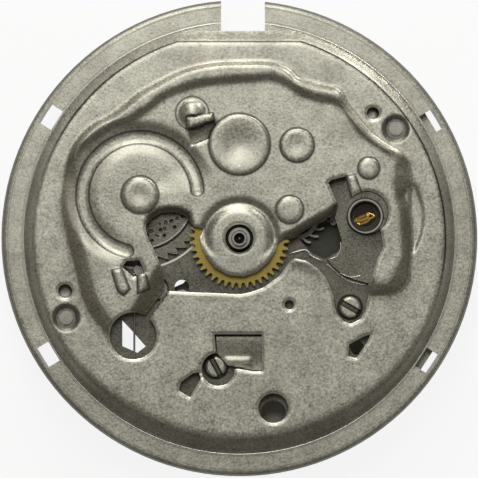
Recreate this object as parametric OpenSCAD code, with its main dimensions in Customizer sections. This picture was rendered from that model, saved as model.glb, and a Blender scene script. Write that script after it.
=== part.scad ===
// Mechanical watch movement, dial side up. Millimetres.
// The hand axis is x = y = 0, the winding stem lies along +Y, and z = 0 is the back.

/* [Casing ring] */
// Gap between the main plate and the casing ring
ring_fit = 0.05; // [0.03:0.01:0.1]
// Width of the ring's rim, from its bore to its outside
rim_w = 1.95; // [1.9:0.05:2.3]
// Width of the ring's inner ledge under the main plate
ledge_w = 0.35; // [0.25:0.05:0.4]
// Height of the ring's inner ledge
ledge_t = 0.4; // [0.3:0.05:0.45]
// Thickness of the ring's inner wall
ring_wall = 0.45; // [0.4:0.05:0.55]
// Thickness of the ring's outer skirt
skirt_wall = 0.35; // [0.25:0.05:0.4]
// Thickness of the ring's rim
rim_t = 0.45; // [0.35:0.05:0.5]
// Height of the rim's top face above the main plate's top
rim_rise = 0.15; // [0.05:0.01:0.25]
// Length of the skirt below the rim's top face
skirt_len = 3.35; // [3:0.05:3.5]
// Left edge of the stem notch
notch_left = -1.09; // [-1.3:0.01:-0.9]
// Right edge of the stem notch
notch_right = 1.52; // [1.3:0.01:1.7]
// Distance of the dial tab slots from the ring's outside
slot_edge = 0.36; // [0.3:0.01:0.45]
// Radial width of a dial tab slot
slot_w = 0.89; // [0.8:0.01:0.95]
// Length of a dial tab slot along the rim
slot_len = 1.3; // [1.1:0.05:1.5]

/* [Front plate] */
// Sheet thickness of the front plate
sheet_t = 0.3; // [0.25:0.01:0.32]
// Width of the rim that lies under the front plate
front_seat_w = 0.6; // [0.5:0.01:0.65]
// Width of the front plate's outer slope
front_slope_w = 0.55; // [0.45:0.01:0.6]
// How far the flat upper edge cuts into the front plate's round outline
chord_cut = 0.45; // [0.3:0.01:0.6]
// Width of the slope along the flat upper edge
chord_slope_w = 0.65; // [0.5:0.01:0.7]
// Height of the front plate's outer flat above the main plate's top
plateau_h = 0.85; // [0.8:0.01:0.9]
// Step from the outer flat up to the inner panel
panel_step = 0.25; // [0.2:0.01:0.3]
// Height of the wavy bead's crest above the inner panel
ridge_h = 0.18; // [0.1:0.01:0.24]
// Height of a stamped boss above the panel
boss_h = 0.2; // [0.1:0.02:0.26]
// Depth of a stamped groove
groove_d = 0.13; // [0.08:0.01:0.15]
// Radius of the round window at the lower left
window_r = 1.39; // [1.3:0.01:1.42]
// Radius of the first dial foot hole
foot_hole_r = 0.41; // [0.38:0.01:0.44]
// Radius of the second dial foot hole
foot_hole_2_r = 0.37; // [0.34:0.01:0.4]

/* [Main plate] */
// Radius of the main plate
plate_r = 12.1; // [12:0.05:12.6]
// Thickness of the main plate
plate_t = 1; // [0.98:0.01:1]
// Depth of the wheel recess in the main plate
recess_d = 0.5; // [0.46:0.01:0.5]
// Width of the raised edge that carries the front plate
plate_edge_w = 0.55; // [0.4:0.05:0.6]
// Radius of the stem bore
stem_r = 0.45; // [0.4:0.01:0.5]
// Height of the stem axis
stem_z = 2.93; // [2.92:0.01:2.94]

/* [Bridges] */
// Thickness of the back bridges
bridge_t = 0.8; // [0.76:0.02:0.8]
// Gap between two bridges
bridge_gap = 0.3; // [0.2:0.05:0.5]
// Radius of a bridge's foot
bridge_foot_r = 0.85; // [0.75:0.05:0.9]
// Radius of a bridge screw's head
screw_head_r = 0.62; // [0.5:0.02:0.66]
// Radius of a bridge screw's thread
screw_r = 0.33; // [0.25:0.01:0.36]

/* [Train] */
// Teeth of the barrel
barrel_teeth = 70; // [66:1:72]
// Leaves of the centre pinion
centre_leaves = 14; // [13:1:15]
// Teeth of the centre wheel
centre_teeth = 75; // [70:1:76]
// Leaves of the third pinion
third_leaves = 10; // [10:1:11]
// Teeth of the third wheel
third_teeth = 80; // [76:1:80]
// Leaves of the fourth pinion
fourth_leaves = 10; // [10:1:11]
// Teeth of the fourth wheel
fourth_teeth = 72; // [70:1:74]
// Leaves of the escape pinion
escape_leaves = 8; // [8:1:9]
// Teeth of the escape wheel
escape_teeth = 20; // [20:1:20]
// Tip radius of the escape wheel
escape_r = 1.92; // [1.88:0.01:1.94]
// Outer radius of the balance wheel
balance_r = 3.85; // [3.6:0.05:3.88]
// Turns of the hairspring
hairspring_turns = 6; // [4:1:7]
// Turns of the mainspring
mainspring_turns = 8; // [6:1:9]
// Running clearance of shafts, on the radius
clearance = 0.03; // [0.02:0.005:0.04]

/* [Winding and setting] */
// Teeth of the ratchet wheel
ratchet_teeth = 40; // [38:1:42]
// Teeth of the crown wheel
crown_teeth = 26; // [24:1:27]
// Teeth of the hour wheel
hour_teeth = 42; // [40:1:44]
// Leaves of the minute wheel's pinion
minute_leaves = 14; // [13:1:15]
// Teeth of the minute wheel
minute_teeth = 48; // [46:1:50]
// Leaves of the cannon pinion
cannon_leaves = 12; // [12:1:13]
// Outer radius of the hour pipe
hour_pipe_r = 0.63; // [0.6:0.01:0.66]
// Outer radius of the cannon pinion's tube
cannon_r = 0.44; // [0.43:0.005:0.45]
// Travel of the sliding pinion
slide_travel = 0.55; // [0.5:0.01:0.55]

/* [Hidden] */
$fn = 48;

plate_z = 3.4;
plate_top = plate_z + plate_t;
ring_bore_r = plate_r + ring_fit;
ring_r = ring_bore_r + rim_w;
ledge_r = ring_bore_r - ledge_w;
rim_z = plate_top + rim_rise;
skirt_z = rim_z - skirt_len;
slot_mid_r = ring_r - slot_edge - slot_w / 2;
front_foot_r = ring_bore_r + front_seat_w;
front_top_r = front_foot_r - front_slope_w;
chord_foot_y = front_foot_r - chord_cut;
chord_top_y = chord_foot_y - chord_slope_w;
plateau_z = plate_top + plateau_h;
panel_z = plateau_z + panel_step;
ridge_z = panel_z + ridge_h;

satin_nickel = [0.74, 0.73, 0.69];
dark_nickel = [0.5, 0.49, 0.46];
steel_grey = [0.62, 0.62, 0.6];
brass_yellow = [0.78, 0.62, 0.25];
gilt = [0.9, 0.7, 0.3];
ruby_red = [0.75, 0.1, 0.25];
blue_steel = [0.25, 0.3, 0.45];

// Places of the axes
centre_p = [0, 0];
barrel_p = [-5.865, 2.565];
crown_p = [0, 5.55];
idler_p = [3.41, 5.5];
setting_p = [1.2, 4.35];
escape_p = [3.3, 1.4];
balance_p = [7.44, 1.31];
click_p = [-4.9, -3];
third_dist = 3.7;
third_p = polar(third_dist, -80);
escape_phase = -24.6;
pallet_dist = 2.25;
pallet_p = escape_p + polar(pallet_dist, 20.4);
boss_e_p = [7.64, 4.14];
window_p = [-6.28, -5.76];
screw_1_p = [6.56, -4.08];
screw_2_p = [-1.39, -7.6];
rivet_places = [[-10.24, -4.69], [9.25, 6.48]];
foot_hole_p = [-10.3, -3.12];
foot_hole_2_p = [7.9, 7.39];
edge_feet_r = plate_r - 1.2;
slot_angles = [31.2, 147.2, 211.3, -33.1];

// Heights of the layers
recess_z = plate_top - recess_d;
front_low = plateau_z - sheet_t;
plate_edge_r = front_top_r - sheet_t - 0.05;
panel_low = panel_z - sheet_t;
fourth_pinion_z = 0.87;
third_z = 0.9;
wheel_t = 0.15;
fourth_z = 1.2;
centre_bridge_z = 1.42;
centre_bridge_t = 0.26;
centre_z = 1.78;
centre_pinion_z = 1.95;
barrel_z = 2.05;
barrel_h = 1.25;
barrel_floor_t = 0.2;
balance_z = 1.5;
balance_t = 0.3;
pallet_bridge_z = 2.25;
pallet_bridge_t = 0.35;
roller_z = 2.75;
escape_z = 2.95;
setting_z = 3.17;
ratchet_z = recess_z + 0.07;
ratchet_t = 0.35;
cannon_z = plate_top + 0.05;
hour_z = cannon_z + 0.31;
hour_t = 0.18;
hour_pipe_top = 6.3;
cannon_top = 6.7;
seconds_top = 6.9;
seat_step = 0.01;
centre_tube_top = cannon_top - 0.9;
seconds_cone_z = seconds_top - 0.7;
jewel_t = 0.25;
bridge_jewel_z = 0.5;
plate_jewel_z = plate_z + 0.02;
jewel_r = 0.45;
pivot_r = 0.07;
arbor_r = 0.15;

// Gears
barrel_dist = norm(barrel_p);
barrel_module = 2 * barrel_dist / (barrel_teeth + centre_leaves);
centre_module = 2 * third_dist / (centre_teeth + third_leaves);
third_module = 2 * third_dist / (third_teeth + fourth_leaves);
escape_module = 2 * norm(escape_p) / (fourth_teeth + escape_leaves);
ratchet_module = 2 * norm(crown_p - barrel_p) / (ratchet_teeth + crown_teeth);
minute_dist = 3.75;
hour_module = 2 * minute_dist / (hour_teeth + minute_leaves);
minute_module = 2 * minute_dist / (minute_teeth + cannon_leaves);
idler_leaves = 8;
idler_dist = minute_module * (minute_teeth + idler_leaves) / 2;
minute_p = apex(idler_p, minute_dist, idler_dist);
idler_teeth = 20;
setting_teeth = 30;
setting_module = 2 * norm(idler_p - setting_p) / (idler_teeth + setting_teeth);

barrel_wall_r = barrel_module * (barrel_teeth / 2 - 1.8);
barrel_wall = 0.3;
arbor_core_r = 0.75;
arbor_pivot_r = 0.5;
ratchet_tip_r = ratchet_module * (ratchet_teeth / 2 + 0.75);
crown_tip_r = ratchet_module * (crown_teeth / 2 + 0.7);
recess_gap = 0.17;
crown_bore_r = 0.95;
cannon_bore_r = 0.32;
centre_tube_r = cannon_bore_r - clearance;
centre_seat_r = 0.42;
seconds_r = 0.12;
staff_r = 0.2;
roller_r = 0.55;
impulse_r = 0.06;
impulse_dist = 0.42;
collet_r = 0.45;
hairspring_r = 1.85;
hairspring_w = 0.05;
stud_angle = 200;
shock_r = 1;
seat_hole_r = 0.86;
seat_collar_r = 1.23;
seat_collar_p = [7.54, 1.52];

// Feet of the bridges
barrel_feet = [polar(edge_feet_r, 204.7), polar(edge_feet_r, 107.5)];
train_feet = [polar(edge_feet_r, -108), polar(edge_feet_r, -48), polar(edge_feet_r - 0.2, 62.5)];
cock_foot = polar(edge_feet_r + 0.05, 33);
centre_feet = [[-3.4, -3.6], [3.6, -2.5]];
pallet_feet = [[4.3, 4.02], [7.0, 4.3]];
inner_foot_r = 0.45;
inner_screw_r = 0.2;
inner_head_r = 0.36;

function polar(r, a) = [r * cos(a), r * sin(a)];

// The corner of the triangle on centre and q, at distance ra from the centre and rb from q
function apex(q, ra, rb) =
    let (d = norm(q), a = acos((ra * ra + d * d - rb * rb) / (2 * ra * d)))
    polar(ra, atan2(q[1], q[0]) + a);

// Turn of the second gear that brings it into mesh with the first
function mesh_turn(p1, n1, turn1, p2, n2) =
    let (dir = atan2(p2[1] - p1[1], p2[0] - p1[0]))
    dir + 180 - 360 / n2 * (0.5 - (dir - turn1) * n1 / 360);

// Four points of one straight-sided tooth
function tooth(i, n, root, tip, root_w, tip_w) = let (a = 360 / n) [
    polar(root, (i - root_w) * a), polar(tip, (i - tip_w) * a),
    polar(tip, (i + tip_w) * a), polar(root, (i + root_w) * a)
];

// Curve through points, with n steps between two of them
function curve_point(p, i, t) = let (
    c = len(p),
    a = p[(i + c - 1) % c], b = p[i], d = p[(i + 1) % c], e = p[(i + 2) % c]
) 0.5 * (2 * b + (d - a) * t + (2 * a - 5 * b + 4 * d - e) * t * t
    + (3 * b - a - 3 * d + e) * t * t * t);
function closed_curve(p, n) = [for (i = [0:len(p) - 1], k = [0:n - 1]) curve_point(p, i, k / n)];

// A strip that winds from radius r0 to r1
function spiral(r0, r1, turns, w, steps) = let (last = round(turns * steps)) concat(
    [for (i = [0:last]) polar(r0 + (r1 - r0) * i / last - w / 2, 360 * i / steps)],
    [for (i = [last:-1:0]) polar(r0 + (r1 - r0) * i / last + w / 2, 360 * i / steps)]
);

module rod(p, r, z0, z1) translate([p[0], p[1], z0]) cylinder(r = r, h = z1 - z0);
module tube(p, r, bore, z0, z1) difference() {
    rod(p, r, z0, z1);
    rod(p, bore, z0 - 1, z1 + 1);
}
// Shaft that narrows to the seat of a pressed-on part
module seated_shaft(p, r, seat_r, z0, cone_z, seat_z, z1) translate([p[0], p[1], 0]) rotate_extrude()
    polygon([[0, z0], [r, z0], [r, cone_z], [seat_r, seat_z], [seat_r, z1], [0, z1]]);
module slab(points, z0, z1) translate([0, 0, z0]) linear_extrude(height = z1 - z0) polygon(points);
module block(x0, x1, y0, y1, z0, z1) translate([x0, y0, z0]) cube([x1 - x0, y1 - y0, z1 - z0]);

// Straight bar with round ends
module bar(p, q, w, z0, z1) {
    rod(p, w / 2, z0, z1);
    rod(q, w / 2, z0, z1);
    translate([p[0], p[1], z0]) rotate(atan2(q[1] - p[1], q[0] - p[0]))
        translate([0, -w / 2, 0]) cube([norm(q - p), w, z1 - z0]);
}

module gear(p, n, m, z0, z1, turn = 0, add = 0.9, ded = 1.2, root_w = 0.33, tip_w = 0.11)
    translate([p[0], p[1], z0]) rotate(turn) linear_extrude(height = z1 - z0)
        polygon([for (i = [0:n - 1])
            each tooth(i, n, m * (n / 2 - ded), m * (n / 2 + add), root_w, tip_w)]);

// Openings between the arms of a wheel
module arms_cut(p, arms, hub, rim, arm_w, z0, z1)
    translate([p[0], p[1], z0]) for (i = [0:arms - 1]) rotate(i * 360 / arms) difference() {
        intersection() {
            difference() {
                cylinder(r = rim, h = z1 - z0);
                translate([0, 0, -1]) cylinder(r = hub, h = z1 - z0 + 2);
            }
            linear_extrude(height = z1 - z0)
                polygon([[0, 0], [3 * rim, 0], polar(3 * rim, 180 / arms), polar(3 * rim, 360 / arms)]);
        }
        translate([0, -arm_w / 2, -1]) cube([rim * 2, arm_w, z1 - z0 + 2]);
        rotate(360 / arms) translate([0, -arm_w / 2, -1]) cube([rim * 2, arm_w, z1 - z0 + 2]);
    }

// Slotted cheese-head screw, head towards +Z
module screw_up(p, head_r, r, z0, head_z, top, slot_turn) difference() {
    union() {
        rod(p, r, z0, head_z);
        rod(p, head_r, head_z, top);
    }
    translate([p[0], p[1], top]) rotate(slot_turn)
        cube([3 * head_r, head_r * 0.3, (top - head_z) * 0.8], center = true);
}
module screw_down(p, head_r, r, low, head_z, z1) mirror([0, 0, 1])
    screw_up(p, head_r, r, -z1, -head_z, -low, 35);

// Casing ring
module casing_ring() color(satin_nickel) difference() {
    union() {
        rotate_extrude() polygon([
            [ledge_r, plate_z - ledge_t], [ring_bore_r + ring_wall, plate_z - ledge_t],
            [ring_bore_r + ring_wall, rim_z - rim_t], [ring_r - skirt_wall, rim_z - rim_t],
            [ring_r - skirt_wall, skirt_z], [ring_r, skirt_z], [ring_r, rim_z - 0.25],
            [ring_r - 0.12, rim_z - 0.05], [ring_r - 0.3, rim_z], [ring_bore_r, rim_z],
            [ring_bore_r, plate_z], [ledge_r, plate_z]
        ]);
        for (a = [slot_angles[0], slot_angles[3]]) rotate(a)
            block(ring_bore_r + ring_wall / 2, slot_mid_r, -slot_len, slot_len,
                plate_z - ledge_t, plate_z);
    }
    block(notch_left, notch_right, ledge_r - 1, ring_r + 1, skirt_z - 1, rim_z + 1);
    for (a = slot_angles) rotate(a)
        block(slot_mid_r - slot_w / 2, slot_mid_r + slot_w / 2, -slot_len / 2, slot_len / 2,
            rim_z - rim_t - 0.2, rim_z + 1);
}

// Front plate
bead_points = [
    [-7.62, -6.05], [-8.74, -4.7], [-9.4, -3.4], [-9.76, -1.88], [-10.27, 0], [-10.6, 1.7], [-10.45, 3.45],
    [-9.92, 5.23], [-8.83, 6.59], [-7.38, 7.41], [-6.02, 8.5], [-5.12, 9.04], [-3.3, 9.95],
    [-1.49, 10.36], [0.4, 10.44], [1.9, 10.4], [2.93, 10.01], [3.59, 9.42], [4.99, 9.04], [5.9, 8.77],
    [6.45, 7.86], [7.62, 6.41], [8.53, 5.68], [9.44, 5.23], [10.28, 3.51], [10.8, 2.2],
    [10.94, 1.42], [10.5, 0], [10.03, -0.98], [10.12, -1.8], [9.98, -2.61], [9.53, -3.16], [8.62, -3.43]
];
panel_close = [[7.62, -3.44], [7.4, -2.9], [3, -1.6], [0, -3.1], [-4.41, -3.12], [-5.47, -4.6], [-6.3, -5.8]];
foot_points = [
    [-9.27, -1.4], [-9.56, 0.2], [-9.99, 1.62], [-10.05, 2.84], [-9.83, 3.9], [-9.31, 5.06],
    [-8.51, 5.75], [-7.45, 6.44], [-6.4, 6.81], [-5.3, 7.52], [-4.24, 8.29], [-2.33, 8.95],
    [0.66, 9.24], [2.17, 9.25], [3.59, 8.44], [4.45, 8.13], [5.9, 7.77], [6.72, 6.59], [7.62, 5.68],
    [9.17, 4.6], [9.1, 3.23], [9.16, 1.88], [9.34, 0.49], [9.28, -0.99], [9.04, -2.17]
];
foot_close = [[8.2, -2.7], [0, -4.5], [-7.2, -5], [-8.3, -4.2], [-8.9, -3]];
window_edge = [
    [-5.53, 0.85], [-5.36, 1.56], [-4.91, 1.68], [-3.31, 1.74], [-2.77, 1.38], [-2.67, 0.73],
    [-1.2, 0.3], [1.5, 0], [1.81, -0.52], [3, 0.02], [4.18, 0.67], [5.84, 1.93], [5.25, 3.28],
    [5.43, 3.45], [6.26, 3.66], [6.62, 2.4], [7.6, 1.6], [8.25, 0.6], [8.39, 0.34], [8.48, -0.52],
    [8.12, -1.29], [7.94, -1.88], [7.8, -2.41], [7.62, -2.73], [7.62, -3.45], [7.48, -4.22],
    [7.16, -4.76], [6.6, -5.06], [6.17, -4.9], [5.76, -4.48], [5.62, -3.99], [5.58, -3.45],
    [5.4, -3], [5.13, -2.35], [4.66, -1.82], [4, -1.34], [3.26, -1.18], [2.94, -1.44],
    [2.38, -2.21], [1.46, -2.89], [0.75, -3.15], [0.09, -3.3], [-4.41, -3.12], [-4.47, -2.35],
    [-4.64, -1.58], [-5.06, -0.63], [-5.36, -0.1]
];
slit = [[-4.3, -3.12], [-4.46, -3.05], [-5.6, -4.6], [-5.42, -4.7]];
boss_u = [
    [-1.9, 1.1], [-2.45, 0.31], [-1.72, -0.85], [-0.97, -1.95], [-0.6, -2.27], [-0.14, -2.41],
    [0.63, -2.29], [1.2, -1.75], [1.75, -1.05], [2.11, -0.46], [1.9, 1.1]
];
panel_under = [
    [-8.3, -1], [-9.2, 1.8], [-8.6, 4.4], [-6.8, 5.6], [-4.4, 7.2], [-2.2, 8.1], [1.8, 8.4], [4, 7.2],
    [5.7, 6.5], [7.2, 4.8], [8.3, 3.9], [8.3, 1.4], [8.5, -1.5], [6.5, -2.4], [3, -3.6], [-3.7, -3.7]
];
moat_r = 2.43;
boss_shoulder_r = 2.04;
boss_top_r = 1.6;
centre_hole_r = 0.83;
big_boss_r = 3;
groove_in_r = 3.07;
groove_out_r = 3.82;
groove_start = 5;
groove_sweep = 252;
lanced_dome = [-2.78, 7.39];
lanced_r = 0.98;
lanced_window = [[-3.07, 6.43], [-1.45, 6.93], [-1.15, 6.12], [-2.78, 5.49]];
lanced_bar = [[-3.16, 7.2], [-1.58, 7.44], [-1.45, 6.93], [-3.07, 6.43]];
click_window = [[-6.93, -1.7], [-6.66, -1.34], [-5.89, -1.29], [-5.59, -2], [-6.24, -2.29]];
click_pads = [
    [[-7.55, -1.86], [-6.96, -1.76], [-6.45, -3], [-6.86, -3.36], [-7.19, -3.06]],
    [[-6.01, -1.88], [-5.53, -2.06], [-5.3, -3], [-6.01, -3.27]]
];
strip = [[6.26, 3.67], [6.81, 3.78], [7.3, 2.51], [6.72, 2.1]];
tongue_window = [[-1.48, -5.67], [1.34, -5.67], [1.34, -7.86], [0.79, -7.86], [-0.79, -7.6], [-1.39, -6.8]];
tongue = [[-1.36, -5.82], [1.4, -5.82], [1.4, -7.8], [0.79, -7.8], [-0.7, -7.5], [-1.3, -6.8]];
kidney_1 = [[6.43, -6.97], [6.91, -7.09], [7.62, -6.03], [7.74, -5.67], [7.38, -5.79], [6.49, -6.26]];
kidney_2 = [[-3.58, -8.99], [-2.93, -9.4], [-2.27, -8.28], [-2.39, -7.92], [-2.75, -7.98], [-3.46, -8.51]];
counterbore_p = [-1.25, -7.74];
counterbore_r = 0.98;
round_hole_p = [2.01, -10.04];
round_hole_r = 0.88;
pin_hole_p = [2.95, -3.93];
pin_hole_r = 0.28;

// Solid under the pan's outer surface, sunk by a wall thickness
module pan(t) intersection() {
    rotate_extrude() polygon([
        [0, rim_z], [front_foot_r - t, rim_z], [front_top_r - t, plateau_z - t], [0, plateau_z - t]
    ]);
    rotate([90, 0, 90]) translate([0, 0, -ring_r]) linear_extrude(height = 2 * ring_r) polygon([
        [-ring_r, 0], [chord_foot_y - t, 0], [chord_foot_y - t, rim_z],
        [chord_top_y - t, plateau_z - t], [-ring_r, plateau_z - t]
    ]);
}

// Flat or domed stamped boss
module boss(p, r, dome) {
    rod(p, r, panel_z - sheet_t / 2, panel_z + boss_h * (1 - dome));
    translate([p[0], p[1], panel_z + boss_h * (1 - dome)]) intersection() {
        cylinder(r = r * 0.85, h = boss_h * dome);
        translate([0, 0, boss_h * dome - 4 * r]) sphere(r = 4 * r, $fn = 64);
    }
}

module front_plate() color(satin_nickel) difference() {
    union() {
        difference() {
            pan(0);
            translate([0, 0, -0.001]) pan(sheet_t);
        }
        slab(concat(closed_curve(bead_points, 2), panel_close), front_low, panel_z);
        difference() {
            slab(concat(closed_curve(bead_points, 2), panel_close), panel_z - 0.1, ridge_z);
            slab(concat(closed_curve(foot_points, 2), foot_close), panel_z, ridge_z + 1);
        }
        difference() {
            rod(barrel_p, big_boss_r, panel_z - 0.1, panel_z + boss_h * 0.6);
            rod(barrel_p, 1.25, panel_z, panel_z + 1);
        }
        boss(barrel_p, 1.11, 0.5);
        boss(crown_p, 1.82, 0);
        boss(idler_p, 1.02, 0);
        boss([2.97, 1.69], 0.82, 0.5);
        boss(boss_e_p, 0.65, 0.6);
        slab(boss_u, panel_low, panel_z);
        rod(centre_p, boss_shoulder_r, panel_low, panel_z);
        rod(centre_p, boss_top_r, panel_low, panel_z + boss_h / 2);
        intersection() {
            translate([lanced_dome[0], lanced_dome[1], panel_z - 0.6]) sphere(r = lanced_r);
            rod(lanced_dome, 2 * lanced_r, panel_low, panel_z + 1);
        }
        slab(lanced_bar, panel_low, panel_z + boss_h * 1.2);
        for (pad = click_pads) slab(pad, panel_low, panel_z + 0.08);
        slab(strip, panel_low, panel_z + 0.05);
    }
    difference() {
        slab(window_edge, plate_z, ridge_z + 2);
        slab(boss_u, 0, panel_z + 1);
    }
    difference() {
        rod(centre_p, moat_r, panel_z - groove_d, panel_z + 1);
        slab(boss_u, 0, panel_z + 1);
        rod(centre_p, boss_shoulder_r, 0, panel_z + 1);
    }
    translate([barrel_p[0], barrel_p[1], panel_z - groove_d]) {
        rotate(groove_start) rotate_extrude(angle = groove_sweep)
            translate([groove_in_r, 0]) square([groove_out_r - groove_in_r, 1]);
        for (a = [groove_start, groove_start + groove_sweep])
            rod(polar((groove_in_r + groove_out_r) / 2, a), (groove_out_r - groove_in_r) * 0.47, 0, 1);
    }
    translate([crown_p[0], crown_p[1], panel_z + boss_h + 5.93]) sphere(r = 6, $fn = 96);
    slab(panel_under, front_low - 1.1, panel_low);
    rod(centre_p, centre_hole_r, 0, panel_z + 1);
    rod(seat_collar_p, seat_collar_r + 0.04, 0, panel_z + 1);
    slab(slit, 0, ridge_z + 1);
    slab(lanced_window, 0, panel_z + 1);
    slab(click_window, 0, panel_z + 1);
    rod(window_p, window_r, 0, ridge_z + 1);
    difference() {
        slab(tongue_window, 0, plateau_z + 1);
        slab(tongue, front_low - 0.22, front_low + 0.05);
        block(-0.94, 0.75, -7.65, -7.01, front_low - 0.1, front_low + 0.14);
    }
    difference() {
        rod(counterbore_p, counterbore_r, 0, plateau_z + 1);
        slab(tongue, front_low - 0.22, front_low + 0.05);
        block(-0.94, 0.75, -7.65, -7.01, front_low - 0.1, front_low + 0.14);
    }
    slab(kidney_1, 0, plateau_z + 1);
    slab(kidney_2, 0, plateau_z + 1);
    rod(round_hole_p, round_hole_r, 0, plateau_z + 1);
    rod(pin_hole_p, pin_hole_r, 0, plateau_z + 1);
    rod(foot_hole_p, foot_hole_r, 0, plateau_z + 1);
    rod(foot_hole_2_p, foot_hole_2_r, 0, plateau_z + 1);
    for (p = rivet_places) {
        rod(p, rivet_r + clearance, 0, plateau_z + 1);
        rod(p, rivet_r * 2.1, plateau_z - groove_d, plateau_z + 1);
    }
}

// Main plate
rivet_r = 0.38;
escape_window = [
    [3.35, 0.2], [3.93, -0.5], [4.27, -0.85], [5.04, -1.23], [5.3, -1.1], [6.2, -0.6], [6.2, 0.6],
    [5.75, 1.45], [4.6, 1.15]
];
escape_recess = [
    [2.2, -0.6], [2.88, -0.93], [3.59, -0.79], [3.93, -0.66], [4.27, -1], [4.95, -1.25],
    [5.2, 0.6], [3, 0.6]
];
lower_opening = [[-6.95, -4.85], [-6.34, -5.5], [-5.55, -6.4], [-6.05, -6.8], [-6.95, -6.4]];
click_pocket_r = 0.75;
lever_pivot = [-2.7, plate_r - 1.9];
lever_pin = [0, plate_r - 2.1];
yoke_p = [3, 7];
stem_boss_w = 1.2;
stem_boss_y = [plate_r - 2.7, plate_r - 0.8];
pinion_slot_y = [8.1, 9.15];

module main_plate() color(dark_nickel) difference() {
    union() {
        rod(centre_p, plate_r, plate_z, plate_top);
        intersection() {
            tube(centre_p, plate_edge_r, plate_edge_r - plate_edge_w, plate_top - 0.1, front_low - 0.02);
            block(-ring_r, ring_r, -ring_r, chord_top_y - 2 * sheet_t, 0, ring_r);
        }
        block(-stem_boss_w, stem_boss_w, stem_boss_y[0], stem_boss_y[1], stem_z - 0.95, plate_z + 0.1);
        rod(setting_p, 0.3, setting_z - 0.12, plate_z + 0.1);
        rod(yoke_p, 0.3, stem_z - 0.25, plate_z + 0.1);
        rod(minute_p, 0.25, plate_top - 0.1, hour_z + hour_t + 0.05);
        rod(lever_pivot, 0.3, plate_top - 0.1, plate_top + 0.4);
        rod(click_p, 0.25, recess_z - 0.1, plate_top + 0.05);
    }
    rod(barrel_p, ratchet_tip_r + recess_gap, recess_z, plate_top + 1);
    rod(crown_p, crown_tip_r + recess_gap, recess_z, plate_top + 1);
    difference() {
        bar(click_p, click_p + [-1.2, 1], 2 * click_pocket_r, recess_z, plate_top + 1);
        rod(click_p, 0.25, recess_z - 0.1, plate_top + 0.05);
    }
    rod(barrel_p, arbor_pivot_r + clearance, 0, ring_r);
    rod(crown_p, 0.35, 0, ring_r);
    block(-1.45, 1.45, pinion_slot_y[0], pinion_slot_y[1], plate_z - 1, ring_r);
    block(-0.85, 0.85, 5, pinion_slot_y[0] + 0.1, plate_z - 1, plate_z + 0.35);
    translate([0, 0, stem_z]) rotate([-90, 0, 0]) cylinder(r = stem_r, h = ring_r);
    block(-0.28, 0.28, lever_pin[1] - 0.35, lever_pin[1] + slide_travel + 0.35, stem_z, ring_r);
    rod(centre_p, centre_seat_r + clearance, 0, ring_r);
    rod(idler_p, 0.25 + clearance, 0, ring_r);
    for (p = [third_p, escape_p, pallet_p]) {
        rod(p, jewel_r, plate_z - 1, plate_jewel_z + jewel_t);
        rod(p, 0.15, plate_z, plate_jewel_z + jewel_t + 0.1);
    }
    rod(balance_p, shock_r, 0, ring_r);
    slab(escape_window, 0, ring_r);
    slab(escape_recess, plate_top - 0.35, plate_top + 1);
    slab(lower_opening, 0, ring_r);
    rod([-3.41, -2.9], 0.44, 0, ring_r);
    rod([2, -10.35], 0.75, 0, ring_r);
    rod([7, -6.5], 0.4, 0, ring_r);
    rod(foot_hole_p, foot_hole_r + 0.09, plate_top - 0.6, ring_r);
    rod(foot_hole_2_p, foot_hole_2_r + 0.09, plate_top - 0.6, ring_r);
    for (p = rivet_places) rod(p, rivet_r, plate_top - 0.4, ring_r);
    rod(spring_post_p, spring_post_r, plate_top - 0.4, ring_r);
    for (p = concat(barrel_feet, train_feet, [cock_foot])) rod(p, screw_r, plate_z - 1, plate_z + 0.45);
    for (p = concat(centre_feet, pallet_feet)) rod(p, inner_screw_r, plate_z - 1, plate_z + 0.4);
    for (p = [screw_1_p, screw_2_p]) rod(p, screw_r, plate_z, plate_top + 1);
}

module rivets() color(steel_grey) for (p = rivet_places)
    rod(p, rivet_r, plate_top - 0.4, plateau_z - 0.04);

module dial_screws() color(satin_nickel) {
    screw_up(screw_1_p, 0.63, screw_r, plate_z + 0.05, plate_top, plate_top + 0.32, -30);
    screw_up(screw_2_p, 0.62, screw_r, plate_z + 0.05, plate_top, plate_top + 0.28, 65);
}

// Lower balance cock and the shock setting in it
cock_edge = [
    [6.3, 3.5], [5.95, 2.4], [5.84, 1.85], [5.65, 1.26], [5.86, 0.59], [6.06, -0.1], [6.02, -0.55],
    [5.7, -0.99], [5.18, -1.17], [5.5, -1.6], [5.96, -2], [6.35, -2.25], [6.75, -2.42], [7.62, -2.65],
    [7.95, -2.3], [8.4, -1.2], [8.9, 0], [8.95, 1.8], [8.5, 3.2], [7.6, 3.7]
];
cock_z = plate_top;
cock_t = 0.35;
setting_floor_z = plate_z + 0.15;

module lower_balance_cock() color(dark_nickel) difference() {
    union() {
        slab(cock_edge, cock_z, cock_z + cock_t);
        rod(seat_collar_p, seat_collar_r, cock_z, panel_z - 0.2);
    }
    rod(balance_p, seat_hole_r, 0, ring_r);
    rod(screw_1_p, 0.7, 0, ring_r);
}

module lower_shock_setting() color(steel_grey) difference() {
    union() {
        rod(balance_p, shock_r, setting_floor_z, plate_top);
        rod(balance_p, seat_hole_r, plate_top - 0.1, cock_z + 0.2);
    }
    rod(balance_p, 0.62, setting_floor_z + 0.25, ring_r);
    rod(balance_p, pivot_r + clearance, 0, ring_r);
}

module shock_spring(p, z, turn) translate([p[0], p[1], z]) rotate(turn) {
    difference() {
        cylinder(r = 0.58, h = 0.08);
        translate([0, 0, -1]) cylinder(r = 0.46, h = 3);
        translate([-0.16, 0.2, -1]) cube([0.32, 1, 3]);
    }
    for (s = [-1, 1]) translate([s * 0.2, -0.5, 0]) rotate(-s * 8)
        translate([-0.05, 0, 0]) cube([0.1, 0.82, 0.08]);
}

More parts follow.
